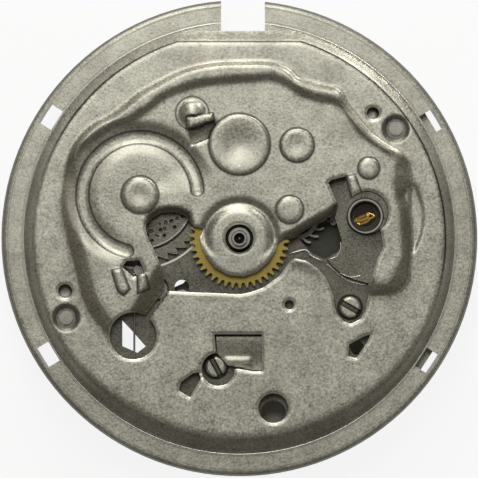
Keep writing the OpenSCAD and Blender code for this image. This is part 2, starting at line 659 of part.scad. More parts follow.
module lower_shock_spring() color(gilt) shock_spring(balance_p, plate_top + 0.02, 15);
module lower_cap_jewel() color(ruby_red) rod(balance_p, 0.62, setting_floor_z + 0.35, plate_top - 0.1);

// Motion work
module hour_wheel() color(brass_yellow) difference() {
    gear(centre_p, hour_teeth, hour_module, hour_z, hour_z + hour_t,
        mesh_turn(minute_p, minute_leaves, 0, centre_p, hour_teeth), 1, 1.25);
    rod(centre_p, hour_pipe_r + seat_step, 0, ring_r);
}
module hour_pipe() color(steel_grey) difference() {
    seated_shaft(centre_p, hour_pipe_r + seat_step, hour_pipe_r, hour_z, hour_z + hour_t,
        panel_z + boss_h / 2 + 0.02, hour_pipe_top);
    rod(centre_p, cannon_r + clearance, 0, ring_r);
}
module cannon_pinion() color(steel_grey) difference() {
    union() {
        gear(centre_p, cannon_leaves, minute_module, cannon_z, hour_z - 0.04);
        seated_shaft(centre_p, cannon_r, cannon_r - seat_step, cannon_z, centre_tube_top,
            hour_pipe_top + 0.02, cannon_top);
    }
    rod(centre_p, cannon_bore_r, 0, ring_r);
}
minute_turn = mesh_turn(centre_p, cannon_leaves, 0, minute_p, minute_teeth);
module minute_wheel() color(brass_yellow) difference() {
    union() {
        gear(minute_p, minute_teeth, minute_module, plate_top + 0.1, plate_top + 0.28, minute_turn);
        gear(minute_p, minute_leaves, hour_module, plate_top + 0.2, hour_z + hour_t + 0.03, 0, 0.9, 1.25);
    }
    rod(minute_p, 0.25 + clearance, 0, ring_r);
}
module intermediate_wheel() color(steel_grey) {
    gear(idler_p, idler_leaves, minute_module, plate_top + 0.1, plate_top + 0.28,
        mesh_turn(minute_p, minute_teeth, minute_turn, idler_p, idler_leaves));
    gear(idler_p, idler_teeth, setting_module, setting_z, setting_z + 0.16);
    rod(idler_p, 0.25, setting_z - 0.1, plate_top + 0.5);
}
module setting_wheel() color(steel_grey) difference() {
    gear(setting_p, setting_teeth, setting_module, setting_z, setting_z + 0.16,
        mesh_turn(idler_p, idler_teeth, 0, setting_p, setting_teeth));
    rod(setting_p, 0.3 + clearance, 0, ring_r);
}

// Winding work
module ratchet_wheel() color(steel_grey) difference() {
    union() {
        translate([barrel_p[0], barrel_p[1], ratchet_z]) linear_extrude(height = ratchet_t)
            polygon([for (i = [0:ratchet_teeth - 1]) each let (a = 360 / ratchet_teeth) [
                polar(ratchet_tip_r - 0.34, (i - 0.16) * a), polar(ratchet_tip_r - 0.02, (i + 0.52) * a),
                polar(ratchet_tip_r, (i + 0.66) * a), polar(ratchet_tip_r - 0.34, (i + 0.76) * a)
            ]]);
        rod(barrel_p, 1.94, ratchet_z, ratchet_z + ratchet_t + 0.08);
    }
    rod(barrel_p, arbor_pivot_r, 0, ring_r);
    tube(barrel_p, 3.27, 3.17, ratchet_z + ratchet_t - 0.12, ring_r);
    for (row = [[2.4, 18, 0], [2.8, 22, 6]], i = [0:row[1] - 1])
        rod(barrel_p + polar(row[0], row[2] + i * 360 / row[1]), 0.12, 0, ring_r);
}
module ratchet_screw() color(steel_grey)
    screw_up(barrel_p, 1, 0.25, ratchet_z - 0.6, ratchet_z + ratchet_t + 0.08,
        ratchet_z + ratchet_t + 0.3, 20);
module crown_wheel() color(steel_grey) difference() {
    gear(crown_p, crown_teeth, ratchet_module, ratchet_z, ratchet_z + ratchet_t,
        mesh_turn(barrel_p, ratchet_teeth, 0.3 * 360 / ratchet_teeth, crown_p, crown_teeth),
        0.7, 0.95, 0.26, 0.1);
    rod(crown_p, crown_bore_r, 0, ring_r);
}
module crown_wheel_core() color(steel_grey) {
    screw_up(crown_p, 1.25, crown_bore_r - clearance, recess_z, ratchet_z + ratchet_t + 0.02,
        ratchet_z + ratchet_t + 0.14, 50);
    rod(crown_p, 0.35, plate_z + 0.4, recess_z + 0.1);
}
click_tip = barrel_p + polar(ratchet_tip_r + 0.03, -94);
module click() color(steel_grey) difference() {
    union() {
        rod(click_p, 0.6, ratchet_z, ratchet_z + 0.25);
        slab([click_p + [-0.3, -0.45], click_p + [0.35, 0.45], click_tip + [0.32, -0.08],
            click_tip, click_tip + [-0.12, -0.3]], ratchet_z, ratchet_z + 0.25);
    }
    rod(click_p, 0.25 + clearance, 0, ring_r);
}
spring_x = -6.22;
spring_post_p = [spring_x, -7.4];
spring_post_r = 0.14;
module click_spring() color(steel_grey) {
    translate([spring_x, spring_post_p[1], plate_top + 0.08]) rotate([-90, 0, 0])
        cylinder(r = 0.06, h = 5.3);
    rod(spring_post_p + [0, 5.3], 0.06, ratchet_z + 0.05, plate_top + 0.14);
    rod(spring_post_p, spring_post_r, plate_top - 0.4, plate_top + 0.2);
}

// Stem pinions, lever and yoke
crown_reach = crown_p[1] + crown_tip_r;
winding_y = [crown_reach - 0.08, crown_reach + 0.72];
sliding_y = [winding_y[0] - 1.95, winding_y[0] - 0.06];
winding_teeth = 12;
sliding_r = 0.75;
groove_y = [yoke_p[1] - 0.3, yoke_p[1] + 0.3];
module on_stem(y) translate([0, y, stem_z]) rotate([-90, 0, 0]) children();
module winding_pinion() color(steel_grey) difference() {
    union() {
        on_stem(winding_y[0]) linear_extrude(height = 0.5)
            polygon([for (i = [0:winding_teeth - 1]) each tooth(i, winding_teeth, 0.98, 1.28, 0.3, 0.1)]);
        on_stem(winding_y[0] + 0.4) cylinder(r = 0.9, h = winding_y[1] - winding_y[0] - 0.4);
    }
    on_stem(0) cylinder(r = stem_r, h = ring_r);
}
module sliding_pinion() color(steel_grey) difference() {
    union() {
        on_stem(sliding_y[0]) cylinder(r = sliding_r, h = groove_y[0] - sliding_y[0]);
        on_stem(groove_y[0]) cylinder(r = 0.5, h = groove_y[1] - groove_y[0]);
        on_stem(groove_y[1]) cylinder(r = sliding_r, h = sliding_y[1] - groove_y[1]);
    }
    on_stem(0) translate([-0.25, -0.25, 0]) cube([0.5, 0.5, ring_r]);
    for (i = [0:7]) on_stem(0) rotate(i * 45) {
        translate([0.45, -0.08, sliding_y[0] - 0.01]) cube([0.5, 0.16, 0.2]);
        translate([0.45, -0.08, sliding_y[1] - 0.15]) cube([0.5, 0.16, 0.3]);
    }
}
module setting_lever() color(steel_grey) difference() {
    union() {
        bar(lever_pivot, lever_pin, 0.7, plate_top + 0.05, plate_top + 0.25);
        rod(lever_pivot, 0.7, plate_top + 0.05, plate_top + 0.25);
        bar(lever_pivot, lever_pivot + [-1.3, -1.1], 0.5, plate_top + 0.05, plate_top + 0.25);
        rod(lever_pin, 0.2, stem_z + stem_r + 0.03, plate_top + 0.2);
    }
    rod(lever_pivot, 0.3 + clearance, 0, ring_r);
}
module yoke() color(steel_grey) difference() {
    union() {
        rod(yoke_p, 0.65, stem_z - 0.1, stem_z + 0.1);
        block(0.58, yoke_p[0], yoke_p[1] - 0.15, yoke_p[1] + 0.15, stem_z - 0.1, stem_z + 0.1);
        bar(yoke_p, yoke_p + [0.9, 1.3], 0.45, stem_z - 0.1, stem_z + 0.1);
    }
    rod(yoke_p, 0.3 + clearance, 0, ring_r);
}

// Barrel
module barrel_drum() color(brass_yellow) difference() {
    union() {
        gear(barrel_p, barrel_teeth, barrel_module, barrel_z, barrel_z + 0.25);
        rod(barrel_p, barrel_wall_r, barrel_z, barrel_z + barrel_h - 0.05);
    }
    rod(barrel_p, barrel_wall_r - barrel_wall, barrel_z + barrel_floor_t, ring_r);
    rod(barrel_p, arbor_pivot_r + clearance, 0, ring_r);
}
module barrel_lid() color(brass_yellow)
    tube(barrel_p, barrel_wall_r - barrel_wall, arbor_pivot_r + clearance, barrel_z + barrel_h - 0.2,
        barrel_z + barrel_h - 0.05);
module barrel_arbor() color(steel_grey) difference() {
    union() {
        rod(barrel_p, arbor_pivot_r, 0.15, ratchet_z + ratchet_t);
        rod(barrel_p, arbor_core_r, barrel_z + barrel_floor_t + 0.05, barrel_z + barrel_h - 0.25);
    }
    rod(barrel_p, 0.25, ratchet_z - 0.6, ring_r);
}
module mainspring() color(blue_steel) translate([barrel_p[0], barrel_p[1], barrel_z + barrel_floor_t + 0.1])
    linear_extrude(height = barrel_h - barrel_floor_t - 0.4)
        polygon(spiral(arbor_core_r + 0.1, barrel_wall_r - barrel_wall - 0.1, mainspring_turns, 0.1, 18));

// Going train
module centre_wheel() color(brass_yellow) difference() {
    union() {
        difference() {
            gear(centre_p, centre_teeth, centre_module, centre_z, centre_z + wheel_t);
            arms_cut(centre_p, 4, 1.35, 2.8, 0.45, centre_z - 1, centre_z + 1);
        }
        gear(centre_p, centre_leaves, barrel_module, centre_pinion_z - 0.1, barrel_z + barrel_h,
            mesh_turn(barrel_p, barrel_teeth, 0, centre_p, centre_leaves));
        rod(centre_p, centre_seat_r, barrel_z + barrel_h - 0.1, plate_top + 0.02);
        rod(centre_p, centre_tube_r, centre_bridge_z, centre_tube_top);
    }
    rod(centre_p, seconds_r + clearance, 0, ring_r);
}
module pivoted_arbor(p, r, z0, z1) {
    rod(p, r, z0, z1);
    rod(p, pivot_r, z0 - 0.32, z1 + 0.3);
}
module third_wheel() color(brass_yellow) {
    difference() {
        gear(third_p, third_teeth, third_module, third_z, third_z + wheel_t);
        arms_cut(third_p, 4, 0.9, 2.8, 0.4, third_z - 1, third_z + 1);
    }
    gear(third_p, third_leaves, centre_module, 1.7, 2.02,
        mesh_turn(centre_p, centre_teeth, 0, third_p, third_leaves));
    pivoted_arbor(third_p, arbor_r, bridge_t, plate_z - 0.02);
}
module fourth_wheel() color(brass_yellow) {
    difference() {
        gear(centre_p, fourth_teeth, escape_module, fourth_z, fourth_z + wheel_t);
        arms_cut(centre_p, 4, 0.8, 2.8, 0.4, fourth_z - 1, fourth_z + 1);
    }
    gear(centre_p, fourth_leaves, third_module, fourth_pinion_z, fourth_z - 0.08,
        mesh_turn(third_p, third_teeth, 0, centre_p, fourth_leaves));
    rod(centre_p, pivot_r, bridge_t - 0.32, bridge_t + 0.1);
    seated_shaft(centre_p, seconds_r, seconds_r - seat_step, bridge_t, seconds_cone_z, cannon_top + 0.02,
        seconds_top);
}

// Hooked tooth of the escape wheel, as radius and angle from its tip
hook = [
    [-0.42, -13], [-0.3, -10.5], [-0.15, -7.2], [-0.05, -4.2], [0, -1.5], [0, 1.2], [-0.11, 0.8],
    [-0.15, -1.6], [-0.24, -4], [-0.36, -6.6], [-0.42, -8]
];
module escape_wheel() color(steel_grey) {
    difference() {
        translate([escape_p[0], escape_p[1], escape_z]) linear_extrude(height = wheel_t)
            polygon([for (i = [0:escape_teeth - 1], h = hook)
                polar(escape_r + h[0], escape_phase + i * 360 / escape_teeth + h[1])]);
        arms_cut(escape_p, 4, 0.4, 1.25, 0.2, escape_z - 1, escape_z + 1);
    }
    gear(escape_p, escape_leaves, escape_module, fourth_z - 0.08, fourth_z + 0.22,
        mesh_turn(centre_p, fourth_teeth, 0, escape_p, escape_leaves));
    pivoted_arbor(escape_p, arbor_r, bridge_t, plate_z - 0.02);
}
stone_w = 0.15;
stone_gap = 0.03;
stone_angles = [20.4 - 31.5, 20.4 + 31.5];
fork_dir = atan2(balance_p[1] - pallet_p[1], balance_p[0] - pallet_p[0]);
fork_reach = norm(balance_p - pallet_p) - impulse_dist;
module at_stone(a) translate([escape_p[0], escape_p[1], escape_z]) rotate(a)
    translate([escape_r + stone_gap, -stone_w / 2, 0]) children();
module pallet_lever() color(steel_grey) difference() {
    union() {
        for (a = stone_angles)
            bar(pallet_p, escape_p + polar(escape_r + 0.42, a), 0.34, escape_z, escape_z + wheel_t);
        bar(pallet_p, pallet_p + polar(fork_reach - 0.2, fork_dir), 0.26, escape_z, escape_z + wheel_t);
        translate([pallet_p[0], pallet_p[1], escape_z]) rotate(fork_dir)
            translate([fork_reach - 0.3, -0.22, 0]) cube([0.42, 0.44, wheel_t]);
        rod(pallet_p, 0.11, pallet_bridge_z + pallet_bridge_t + 0.02, plate_z - 0.02);
        rod(pallet_p, pivot_r, pallet_bridge_z + 0.05, plate_z + 0.28);
    }
    translate([pallet_p[0], pallet_p[1], escape_z - 1]) rotate(fork_dir)
        translate([fork_reach - 0.12, -0.1, 0]) cube([1, 0.2, 3]);
    for (a = stone_angles) at_stone(a) translate([-0.3, 0, -1]) cube([0.7, stone_w, 3]);
    rod(escape_p, escape_r + 0.12, escape_z - 0.1, escape_z + wheel_t + 0.1);
}
module pallet_stones() color(ruby_red) for (a = stone_angles) at_stone(a) cube([0.4, stone_w, wheel_t]);

// Balance
module balance_wheel() color(brass_yellow) difference() {
    rod(balance_p, balance_r, balance_z, balance_z + balance_t);
    arms_cut(balance_p, 3, 0.55, balance_r - 0.5, 0.4, balance_z - 1, balance_z + 1);
    rod(balance_p, balance_r - 0.42, balance_z + balance_t / 2, balance_z + 1);
    rod(balance_p, staff_r, 0, ring_r);
}
module balance_staff() color(steel_grey) {
    rod(balance_p, collet_r, 1.0, 1.3);
    rod(balance_p, staff_r, 0.95, roller_z + wheel_t);
    rod(balance_p, 0.12, 0.9, setting_floor_z - 0.03);
    rod(balance_p, pivot_r, 0.5, setting_floor_z + 0.3);
}
impulse_p = balance_p + polar(impulse_dist, fork_dir + 180);
module roller() color(steel_grey) difference() {
    rod(balance_p, roller_r, roller_z, roller_z + wheel_t);
    rod(balance_p, staff_r, 0, ring_r);
    rod(impulse_p, impulse_r, 0, ring_r);
}
module impulse_jewel() color(ruby_red) rod(impulse_p, impulse_r, roller_z, escape_z + wheel_t + 0.03);
module hairspring() color(blue_steel) translate([balance_p[0], balance_p[1], 1.08])
    rotate(stud_angle) linear_extrude(height = 0.16)
        polygon(spiral(collet_r + 0.05, hairspring_r, hairspring_turns, hairspring_w, 20));
module hairspring_stud() color(steel_grey) difference() {
    rod(balance_p + polar(hairspring_r + 0.02, stud_angle), 0.2, 0.3, 1.3);
    translate([balance_p[0], balance_p[1], 1.08]) rotate(stud_angle)
        translate([0, -0.4, -0.02]) cube([hairspring_r + 0.04, 0.8, 0.2]);
}
module regulator() color(steel_grey) {
    difference() {
        union() {
            rod(balance_p, shock_r + 0.4, 0.1, 0.3);
            bar(balance_p, balance_p + polar(2.4, -60), 0.4, 0.1, 0.3);
            bar(balance_p, balance_p + polar(1.78, 150), 0.5, 0.1, 0.3);
        }
        rod(balance_p, shock_r + clearance, 0, 1);
    }
    for (r = [hairspring_r - 0.16, hairspring_r + 0.13]) rod(balance_p + polar(r, 150), 0.04, 0.1, 1.2);
}
module upper_shock_setting() color(steel_grey) difference() {
    rod(balance_p, shock_r, 0.08, 0.85);
    rod(balance_p, 0.62, 0, 0.6);
    rod(balance_p, pivot_r + clearance, 0, 1);
}
module upper_shock_spring() color(gilt) shock_spring(balance_p, 0.14, 75);
module upper_cap_jewel() color(ruby_red) rod(balance_p, 0.62, 0.23, 0.45);

// Bridges
barrel_bridge_edge = [
    [-13, -6.3], [-8.7, -5.6], [-7.5, -4.2], [-2, -1.7], [-1.3, 2.4], [1.5, 4.4], [1.5, 13], [-13, 13]
];
cock_side = [[7, 4], [12, 9.5], [14, 5], [14, -1.5], [9.5, -2.9], [7, -2]];
bridge_r = plate_r - 0.5;
balance_clear_r = 4.3;
module foot(p, r, z0) rod(p, r, z0 - 0.1, plate_z);
module barrel_bridge() color(satin_nickel) difference() {
    union() {
        intersection() {
            rod(centre_p, bridge_r, 0, bridge_t);
            slab(barrel_bridge_edge, 0, bridge_t);
        }
        rod(barrel_p, 1.2, bridge_t - 0.1, barrel_z - 0.05);
        for (p = barrel_feet) foot(p, bridge_foot_r, 0.1);
    }
    rod(barrel_p, arbor_pivot_r + clearance, -1, barrel_z);
    for (p = barrel_feet) {
        rod(p, screw_r + clearance, -1, ring_r);
        rod(p, screw_head_r + 0.05, -1, 0.42);
    }
}
module train_bridge() color(satin_nickel) difference() {
    union() {
        difference() {
            rod(centre_p, bridge_r, 0, bridge_t);
            translate(bridge_gap * [0.85, -0.85, 0]) slab(barrel_bridge_edge, -1, 2);
            block(-ring_r, 0, 0, ring_r, -1, 2);
            rod(balance_p, balance_clear_r, -1, 2);
            rod(cock_foot, 2.4, -1, 2);
            slab(cock_side, -1, 2);
            rod(window_p, window_r + 0.36, -1, 2);
        }
        for (p = train_feet) foot(p, bridge_foot_r, 0.1);
    }
    for (p = [centre_p, third_p, escape_p]) {
        rod(p, jewel_r, bridge_jewel_z, 2);
        rod(p, 0.2, -1, bridge_jewel_z + 0.1);
    }
    for (p = train_feet) {
        rod(p, screw_r + clearance, -1, ring_r);
        rod(p, screw_head_r + 0.05, -1, 0.42);
    }
}
module balance_cock() color(satin_nickel) difference() {
    union() {
        bar(balance_p, cock_foot, 2.3, 0.35, 0.85);
        rod(balance_p, 1.6, 0.35, 0.85);
        rod(cock_foot, 1.25, 0.35, 0.85);
        rod(balance_p + polar(hairspring_r + 0.02, stud_angle), 0.45, 0.35, 0.85);
        foot(cock_foot, bridge_foot_r, 0.5);
    }
    rod(balance_p, shock_r, 0, 2);
    rod(balance_p + polar(hairspring_r + 0.02, stud_angle), 0.2, 0, 2);
    rod(cock_foot, screw_r + clearance, -1, ring_r);
}
module centre_bridge() color(satin_nickel) difference() {
    union() {
        for (p = centre_feet) {
            bar(p, centre_p, 1.2, centre_bridge_z, centre_bridge_z + centre_bridge_t);
            foot(p, inner_foot_r + 0.1, centre_bridge_z + centre_bridge_t);
        }
    }
    rod(centre_p, centre_tube_r + clearance, 0, ring_r);
    for (p = centre_feet) rod(p, inner_screw_r + clearance, 0, ring_r);
}
// Apron of the pallet bridge that closes the view below the escape wheel
shield_t = 0.2;
shield_edge = [
    [2.75, 2.1], [2.6, 0.2], [3.2, -1.1], [4.4, -1.7], [6.1, -1.6], [6.6, -0.6], [6.6, 0.4],
    [6.2, 2.2], [5, 2.6]
];
module pallet_bridge() color(satin_nickel) difference() {
    union() {
        for (p = pallet_feet) {
            bar(p, pallet_p, 0.9, pallet_bridge_z, pallet_bridge_z + pallet_bridge_t);
            foot(p, inner_foot_r, pallet_bridge_z + pallet_bridge_t);
        }
        slab(shield_edge, pallet_bridge_z, pallet_bridge_z + shield_t);
    }
    rod(escape_p, arbor_r + 0.15, 0, ring_r);
    rod(pallet_p, 0.3, pallet_bridge_z + 0.1, ring_r);
    rod(pallet_p, 0.15, 0, ring_r);
    for (p = pallet_feet) rod(p, inner_screw_r + clearance, 0, ring_r);
}
module bridge_screws() color(blue_steel) {
    for (p = concat(barrel_feet, train_feet))
        screw_down(p, screw_head_r, screw_r, 0.1, 0.4, plate_z + 0.43);
    screw_down(cock_foot, screw_head_r, screw_r, 0.05, 0.35, plate_z + 0.43);
}
module inner_bridge_screws() color(blue_steel) {
    for (p = centre_feet)
        screw_down(p, inner_head_r, inner_screw_r, centre_bridge_z - 0.2, centre_bridge_z, plate_z + 0.38);
    for (p = pallet_feet)
        screw_down(p, inner_head_r, inner_screw_r, pallet_bridge_z - 0.2, pallet_bridge_z, plate_z + 0.38);
}
module plate_jewels() color(ruby_red) for (p = [third_p, escape_p, pallet_p])
    tube(p, jewel_r, pivot_r + clearance, plate_jewel_z, plate_jewel_z + jewel_t);
module bridge_jewels() color(ruby_red) {
    for (p = [centre_p, third_p, escape_p])
        tube(p, jewel_r, pivot_r + clearance, bridge_jewel_z, bridge_jewel_z + jewel_t);
    tube(pallet_p, 0.3, pivot_r + clearance, pallet_bridge_z + 0.1, pallet_bridge_z + 0.3);
}

casing_ring();
front_plate();
main_plate();
rivets();
dial_screws();
lower_balance_cock();
lower_shock_setting();
lower_shock_spring();
lower_cap_jewel();
hour_wheel();
hour_pipe();
cannon_pinion();
minute_wheel();
intermediate_wheel();
setting_wheel();
ratchet_wheel();
ratchet_screw();
crown_wheel();
crown_wheel_core();
click();
click_spring();
winding_pinion();
sliding_pinion();
setting_lever();
yoke();
barrel_drum();
barrel_lid();
barrel_arbor();
mainspring();
centre_wheel();
third_wheel();
fourth_wheel();
escape_wheel();
pallet_lever();
pallet_stones();
balance_wheel();
balance_staff();
roller();
impulse_jewel();
hairspring();
hairspring_stud();
regulator();
upper_shock_setting();
upper_shock_spring();
upper_cap_jewel();
barrel_bridge();
train_bridge();
balance_cock();
centre_bridge();
pallet_bridge();
bridge_screws();
inner_bridge_screws();
plate_jewels();
bridge_jewels();
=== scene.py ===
"""Watch movement, dial side up: relief of the pressed plate, springs, screws, finishes and a plain stage."""

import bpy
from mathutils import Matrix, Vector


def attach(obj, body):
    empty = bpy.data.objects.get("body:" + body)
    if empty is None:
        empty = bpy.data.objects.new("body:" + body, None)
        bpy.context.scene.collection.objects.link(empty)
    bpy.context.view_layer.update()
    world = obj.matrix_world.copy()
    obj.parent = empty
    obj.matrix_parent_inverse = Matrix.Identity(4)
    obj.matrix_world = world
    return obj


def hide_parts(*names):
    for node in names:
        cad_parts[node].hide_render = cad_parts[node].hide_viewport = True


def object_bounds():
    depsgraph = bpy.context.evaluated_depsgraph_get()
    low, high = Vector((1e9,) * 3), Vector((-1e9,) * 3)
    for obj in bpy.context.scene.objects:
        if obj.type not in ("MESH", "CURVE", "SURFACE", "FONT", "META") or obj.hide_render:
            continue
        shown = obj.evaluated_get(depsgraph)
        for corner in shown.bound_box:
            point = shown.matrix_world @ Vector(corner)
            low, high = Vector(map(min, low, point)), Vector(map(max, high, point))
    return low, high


bl_info = {
    "name": "Watch Movement",
    "version": (1, 0, 0),
    "blender": (4, 5, 0),
    "location": "3D View > Sidebar > Movement",
    "description": "Dresses the solids of a hand-wound watch movement",
    "category": "Object",
}

import math

import bpy
import numpy as np
from bpy.props import FloatProperty, FloatVectorProperty, PointerProperty
from mathutils import Vector

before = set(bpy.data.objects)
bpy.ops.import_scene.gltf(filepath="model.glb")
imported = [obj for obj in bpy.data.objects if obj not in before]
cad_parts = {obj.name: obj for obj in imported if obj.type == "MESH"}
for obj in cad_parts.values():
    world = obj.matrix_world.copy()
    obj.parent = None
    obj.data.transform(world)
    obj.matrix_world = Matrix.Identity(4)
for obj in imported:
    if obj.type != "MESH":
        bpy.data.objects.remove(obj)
CAD_LOW, CAD_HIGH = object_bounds()
MM = 0.001

# Sizes and places of the solids, in millimetres
PLATE_TOP = 4.4
RIM_Z = 4.55
PLATEAU_Z = 5.25
PANEL_Z = 5.5
FRONT_FOOT_R = 12.73
FRONT_SLOPE_W = 0.55
CHORD_FOOT_Y = 12.28
CHORD_SLOPE_W = 0.65
SHEET_T = 0.3
CENTRE = (0, 0)
BARREL_P = (-5.865, 2.565)
BALANCE_P = (7.44, 1.31)
RIVET_P = ((-10.24, -4.69), (9.25, 6.48))
FOOT_HOLES = ((-10.3, -3.12, 0.41), (7.9, 7.39, 0.37))
NOTCH_X = (-1.09, 1.52)
RING_HIGHLIGHT_R = 12.79

# Dial screws: centre, radius, top of the head, turn of the slot in degrees. Bridge screws: distance from the
# middle, direction in degrees, height of the head's face. A slot is its width and depth.
DIAL_SCREWS = (((6.56, -4.08), 0.63, 4.72, -30), ((-1.39, -7.6), 0.62, 4.68, -62))
DIAL_SCREW_LOW, DIAL_SLOT = 3.6, (0.26, 0.18)
BRIDGE_SCREWS = ((10.95, 33, 0.05), (10.9, 204.7, 0.1), (10.9, 107.5, 0.1), (10.9, -108, 0.1), (10.9, -48, 0.1),
                 (10.7, 62.5, 0.1))
BRIDGE_SCREW_R, BRIDGE_SCREW_LOW, BRIDGE_SLOT = 0.62, 3.83, (0.16, 0.16)
SCREW_SHANK_R = 0.33

# Hairspring: thickness, lower and upper edge, steps to a turn, where its two parts meet, and each part's radii
# and turns
HAIR_T, HAIR_Z, HAIR_STEPS = 0.05, (1.08, 1.24), 72
HAIR_JOIN = math.radians(-40)
HAIR_COIL, HAIR_TURNS = (0.5, 1.56), 5.4
HAIR_OUTER, HAIR_OUTER_TURNS = (1.62, 1.85), 2 / 3

# Outlines on the pressed plate, then the lyre's wire and the small forms, in millimetres
BEAD = (
    (-7.62, -6.05), (-8.74, -4.7), (-9.4, -3.4), (-9.76, -1.88), (-10.27, 0), (-10.6, 1.7), (-10.45, 3.45),
    (-9.92, 5.23), (-8.83, 6.59), (-7.38, 7.41), (-6.02, 8.5), (-5.12, 9.04), (-3.3, 9.95),
    (-1.49, 10.36), (0.4, 10.44), (1.9, 10.4), (2.93, 10.01), (3.59, 9.42), (4.99, 9.04), (5.9, 8.77),
    (6.45, 7.86), (7.62, 6.41), (8.53, 5.68), (9.44, 5.2), (9.86, 4.8), (10.12, 4.2), (10.2, 3.5),
    (9.95, 2.95), (9.74, 2.5), (9.97, 1.87), (10.1, 0.39), (10.15, -0.7), (10.12, -1.8), (10.05, -2.45),
    (9.6, -3.1), (8.9, -3.42))
TERRACE = ((10.2, 3.3), (10.56, 2.9), (10.8, 2.2), (10.92, 1.38), (10.84, 0.5), (10.6, -0.3), (10.25, -0.9),
           (10.14, -0.3), (10.1, 0.8), (10.0, 1.8), (10.04, 2.7))
PANEL_CLOSE = ((7.62, -3.44), (7.4, -2.9), (3, -1.6), (0, -3.1), (-4.41, -3.12), (-5.47, -4.6), (-5.3, -5.9),
               (-6.2, -6.8), (-7.2, -6.5))
FOOT = (
    (-9.27, -1.4), (-9.56, 0.2), (-9.99, 1.62), (-10.05, 2.84), (-9.83, 3.9), (-9.31, 5.06),
    (-8.51, 5.75), (-7.45, 6.44), (-6.4, 6.81), (-5.3, 7.52), (-4.24, 8.29), (-2.33, 8.95),
    (0.66, 9.24), (2.17, 9.25), (3.59, 8.44), (4.45, 8.13), (5.9, 7.77), (6.72, 6.59), (7.62, 5.68),
    (9.17, 4.6), (9.1, 3.23), (9.16, 1.88), (9.34, 0.49), (9.28, -0.99), (9.04, -2.17))
FOOT_CLOSE = ((8.2, -2.7), (0, -4.5), (-7.2, -5), (-8.3, -4.2), (-8.9, -3))
WINDOW_EDGE = (
    (-5.6, 0.85), (-5.32, 1.4), (-4.75, 1.76), (-4.1, 1.84), (-3.5, 1.78), (-2.95, 1.5), (-2.67, 0.73),
    (-1.2, 0.3), (1.5, 0), (1.81, -0.52), (2.4, -0.16), (3.15, -0.02), (4.18, 0.64), (5.66, 1.44),
    (5.84, 1.93), (5.25, 3.28),
    (5.43, 3.45), (6.26, 3.66), (6.62, 2.4), (7.6, 1.6), (8.25, 0.6), (8.39, 0.34), (8.48, -0.52),
    (8.12, -1.29), (7.94, -1.88), (7.8, -2.41), (7.62, -2.73), (7.62, -3.45), (7.48, -4.22),
    (7.16, -4.76), (6.6, -5.06), (6.17, -4.9), (5.76, -4.48), (5.62, -3.99), (5.58, -3.45),
    (5.4, -3), (5.13, -2.35), (4.66, -1.82), (4, -1.34), (3.26, -1.18), (2.94, -1.44),
    (2.38, -2.21), (1.46, -2.89), (0.75, -3.15), (0.09, -3.3), (-4.41, -3.12), (-4.47, -2.35),
    (-4.64, -1.58), (-5.06, -0.63), (-5.36, -0.1))
BOSS_U = ((-1.9, 1.1), (-2.33, 0), (-2.2, -0.55), (-1.94, -1.09), (-1.48, -1.72), (-0.69, -2.17), (0.3, -2.27),
          (1.09, -1.97), (1.75, -1.38), (2.14, -0.69), (2.25, -0.2), (1.9, 1.1))
FACET = ((-4.55, -1.3), (-4.2, -3.1), (-5.45, -4.8), (-6.6, -4.7), (-6.4, -4.44), (-5.93, -3.58),
         (-5.39, -2.42), (-4.8, -1.5))
FACET_SIDE, FACET_W = ((-4.77, -1.57), (-6.4, -4.44)), 0.88
LYRE = ((6.77, 1.05), (7.0, 1.18), (7.32, 1.29), (7.5, 1.38), (7.62, 1.47), (7.8, 1.43), (8.0, 1.3),
        (7.74, 1.14), (7.56, 0.97), (7.32, 0.87), (7.12, 0.82), (6.91, 0.97))
LYRE_BAR = ((6.85, 1.0), (7.1, 1.02), (7.35, 1.08), (7.55, 1.2), (7.62, 1.4), (7.3, 1.2))
LYRE_WIRES = ((LYRE, 4.5, 0.075, True), (LYRE_BAR, 4.52, 0.1, False))  # points, height, radius, closed
LYRE_TILT, LYRE_LOW_X = 0.28, 6.7
DOME_G = ((-2.78, 7.39), 0.98)
SLIT = ((-4.3, -3.12), (-4.46, -3.05), (-5.6, -4.6), (-5.42, -4.7))
LANCED_WINDOW = ((-3.07, 6.43), (-1.45, 6.93), (-1.15, 6.12), (-2.78, 5.49))
LANCED_BAR = ((-3.16, 7.2), (-1.58, 7.44), (-1.45, 6.93), (-3.07, 6.43))
CLICK_WINDOW = ((-6.93, -1.7), (-6.66, -1.34), (-5.89, -1.29), (-5.59, -2), (-6.24, -2.29))
CLICK_PADS = (
    ((-7.55, -1.86), (-6.96, -1.76), (-6.45, -3), (-6.86, -3.36), (-7.19, -3.06)),
    ((-6.01, -1.88), (-5.53, -2.06), (-5.3, -3), (-6.01, -3.27)))
STRIP = ((6.26, 3.67), (6.81, 3.78), (7.3, 2.51), (6.72, 2.1))
TONGUE_WINDOW = ((-1.48, -5.67), (1.34, -5.67), (1.34, -7.86), (0.79, -7.86), (-0.79, -7.6), (-1.39, -6.8))
TONGUE = ((-1.36, -5.82), (1.4, -5.82), (1.4, -7.8), (0.79, -7.8), (-0.7, -7.5), (-1.3, -6.8))
TONGUE_BAR = ((-0.94, -7.01), (0.75, -7.01), (0.75, -7.65), (-0.94, -7.65))
KIDNEYS = (
    ((6.43, -6.97), (6.91, -7.09), (7.62, -6.03), (7.74, -5.67), (7.38, -5.79), (6.49, -6.26)),
    ((-3.58, -8.99), (-2.93, -9.4), (-2.27, -8.28), (-2.39, -7.92), (-2.75, -7.98), (-3.46, -8.51)))
ROUND_HOLES = ((-6.28, -5.76, 1.39), (-1.25, -7.74, 0.98), (2.01, -10.04, 0.88), (2.95, -3.93, 0.28),
               (7.54, 1.52, 1.27), *FOOT_HOLES)
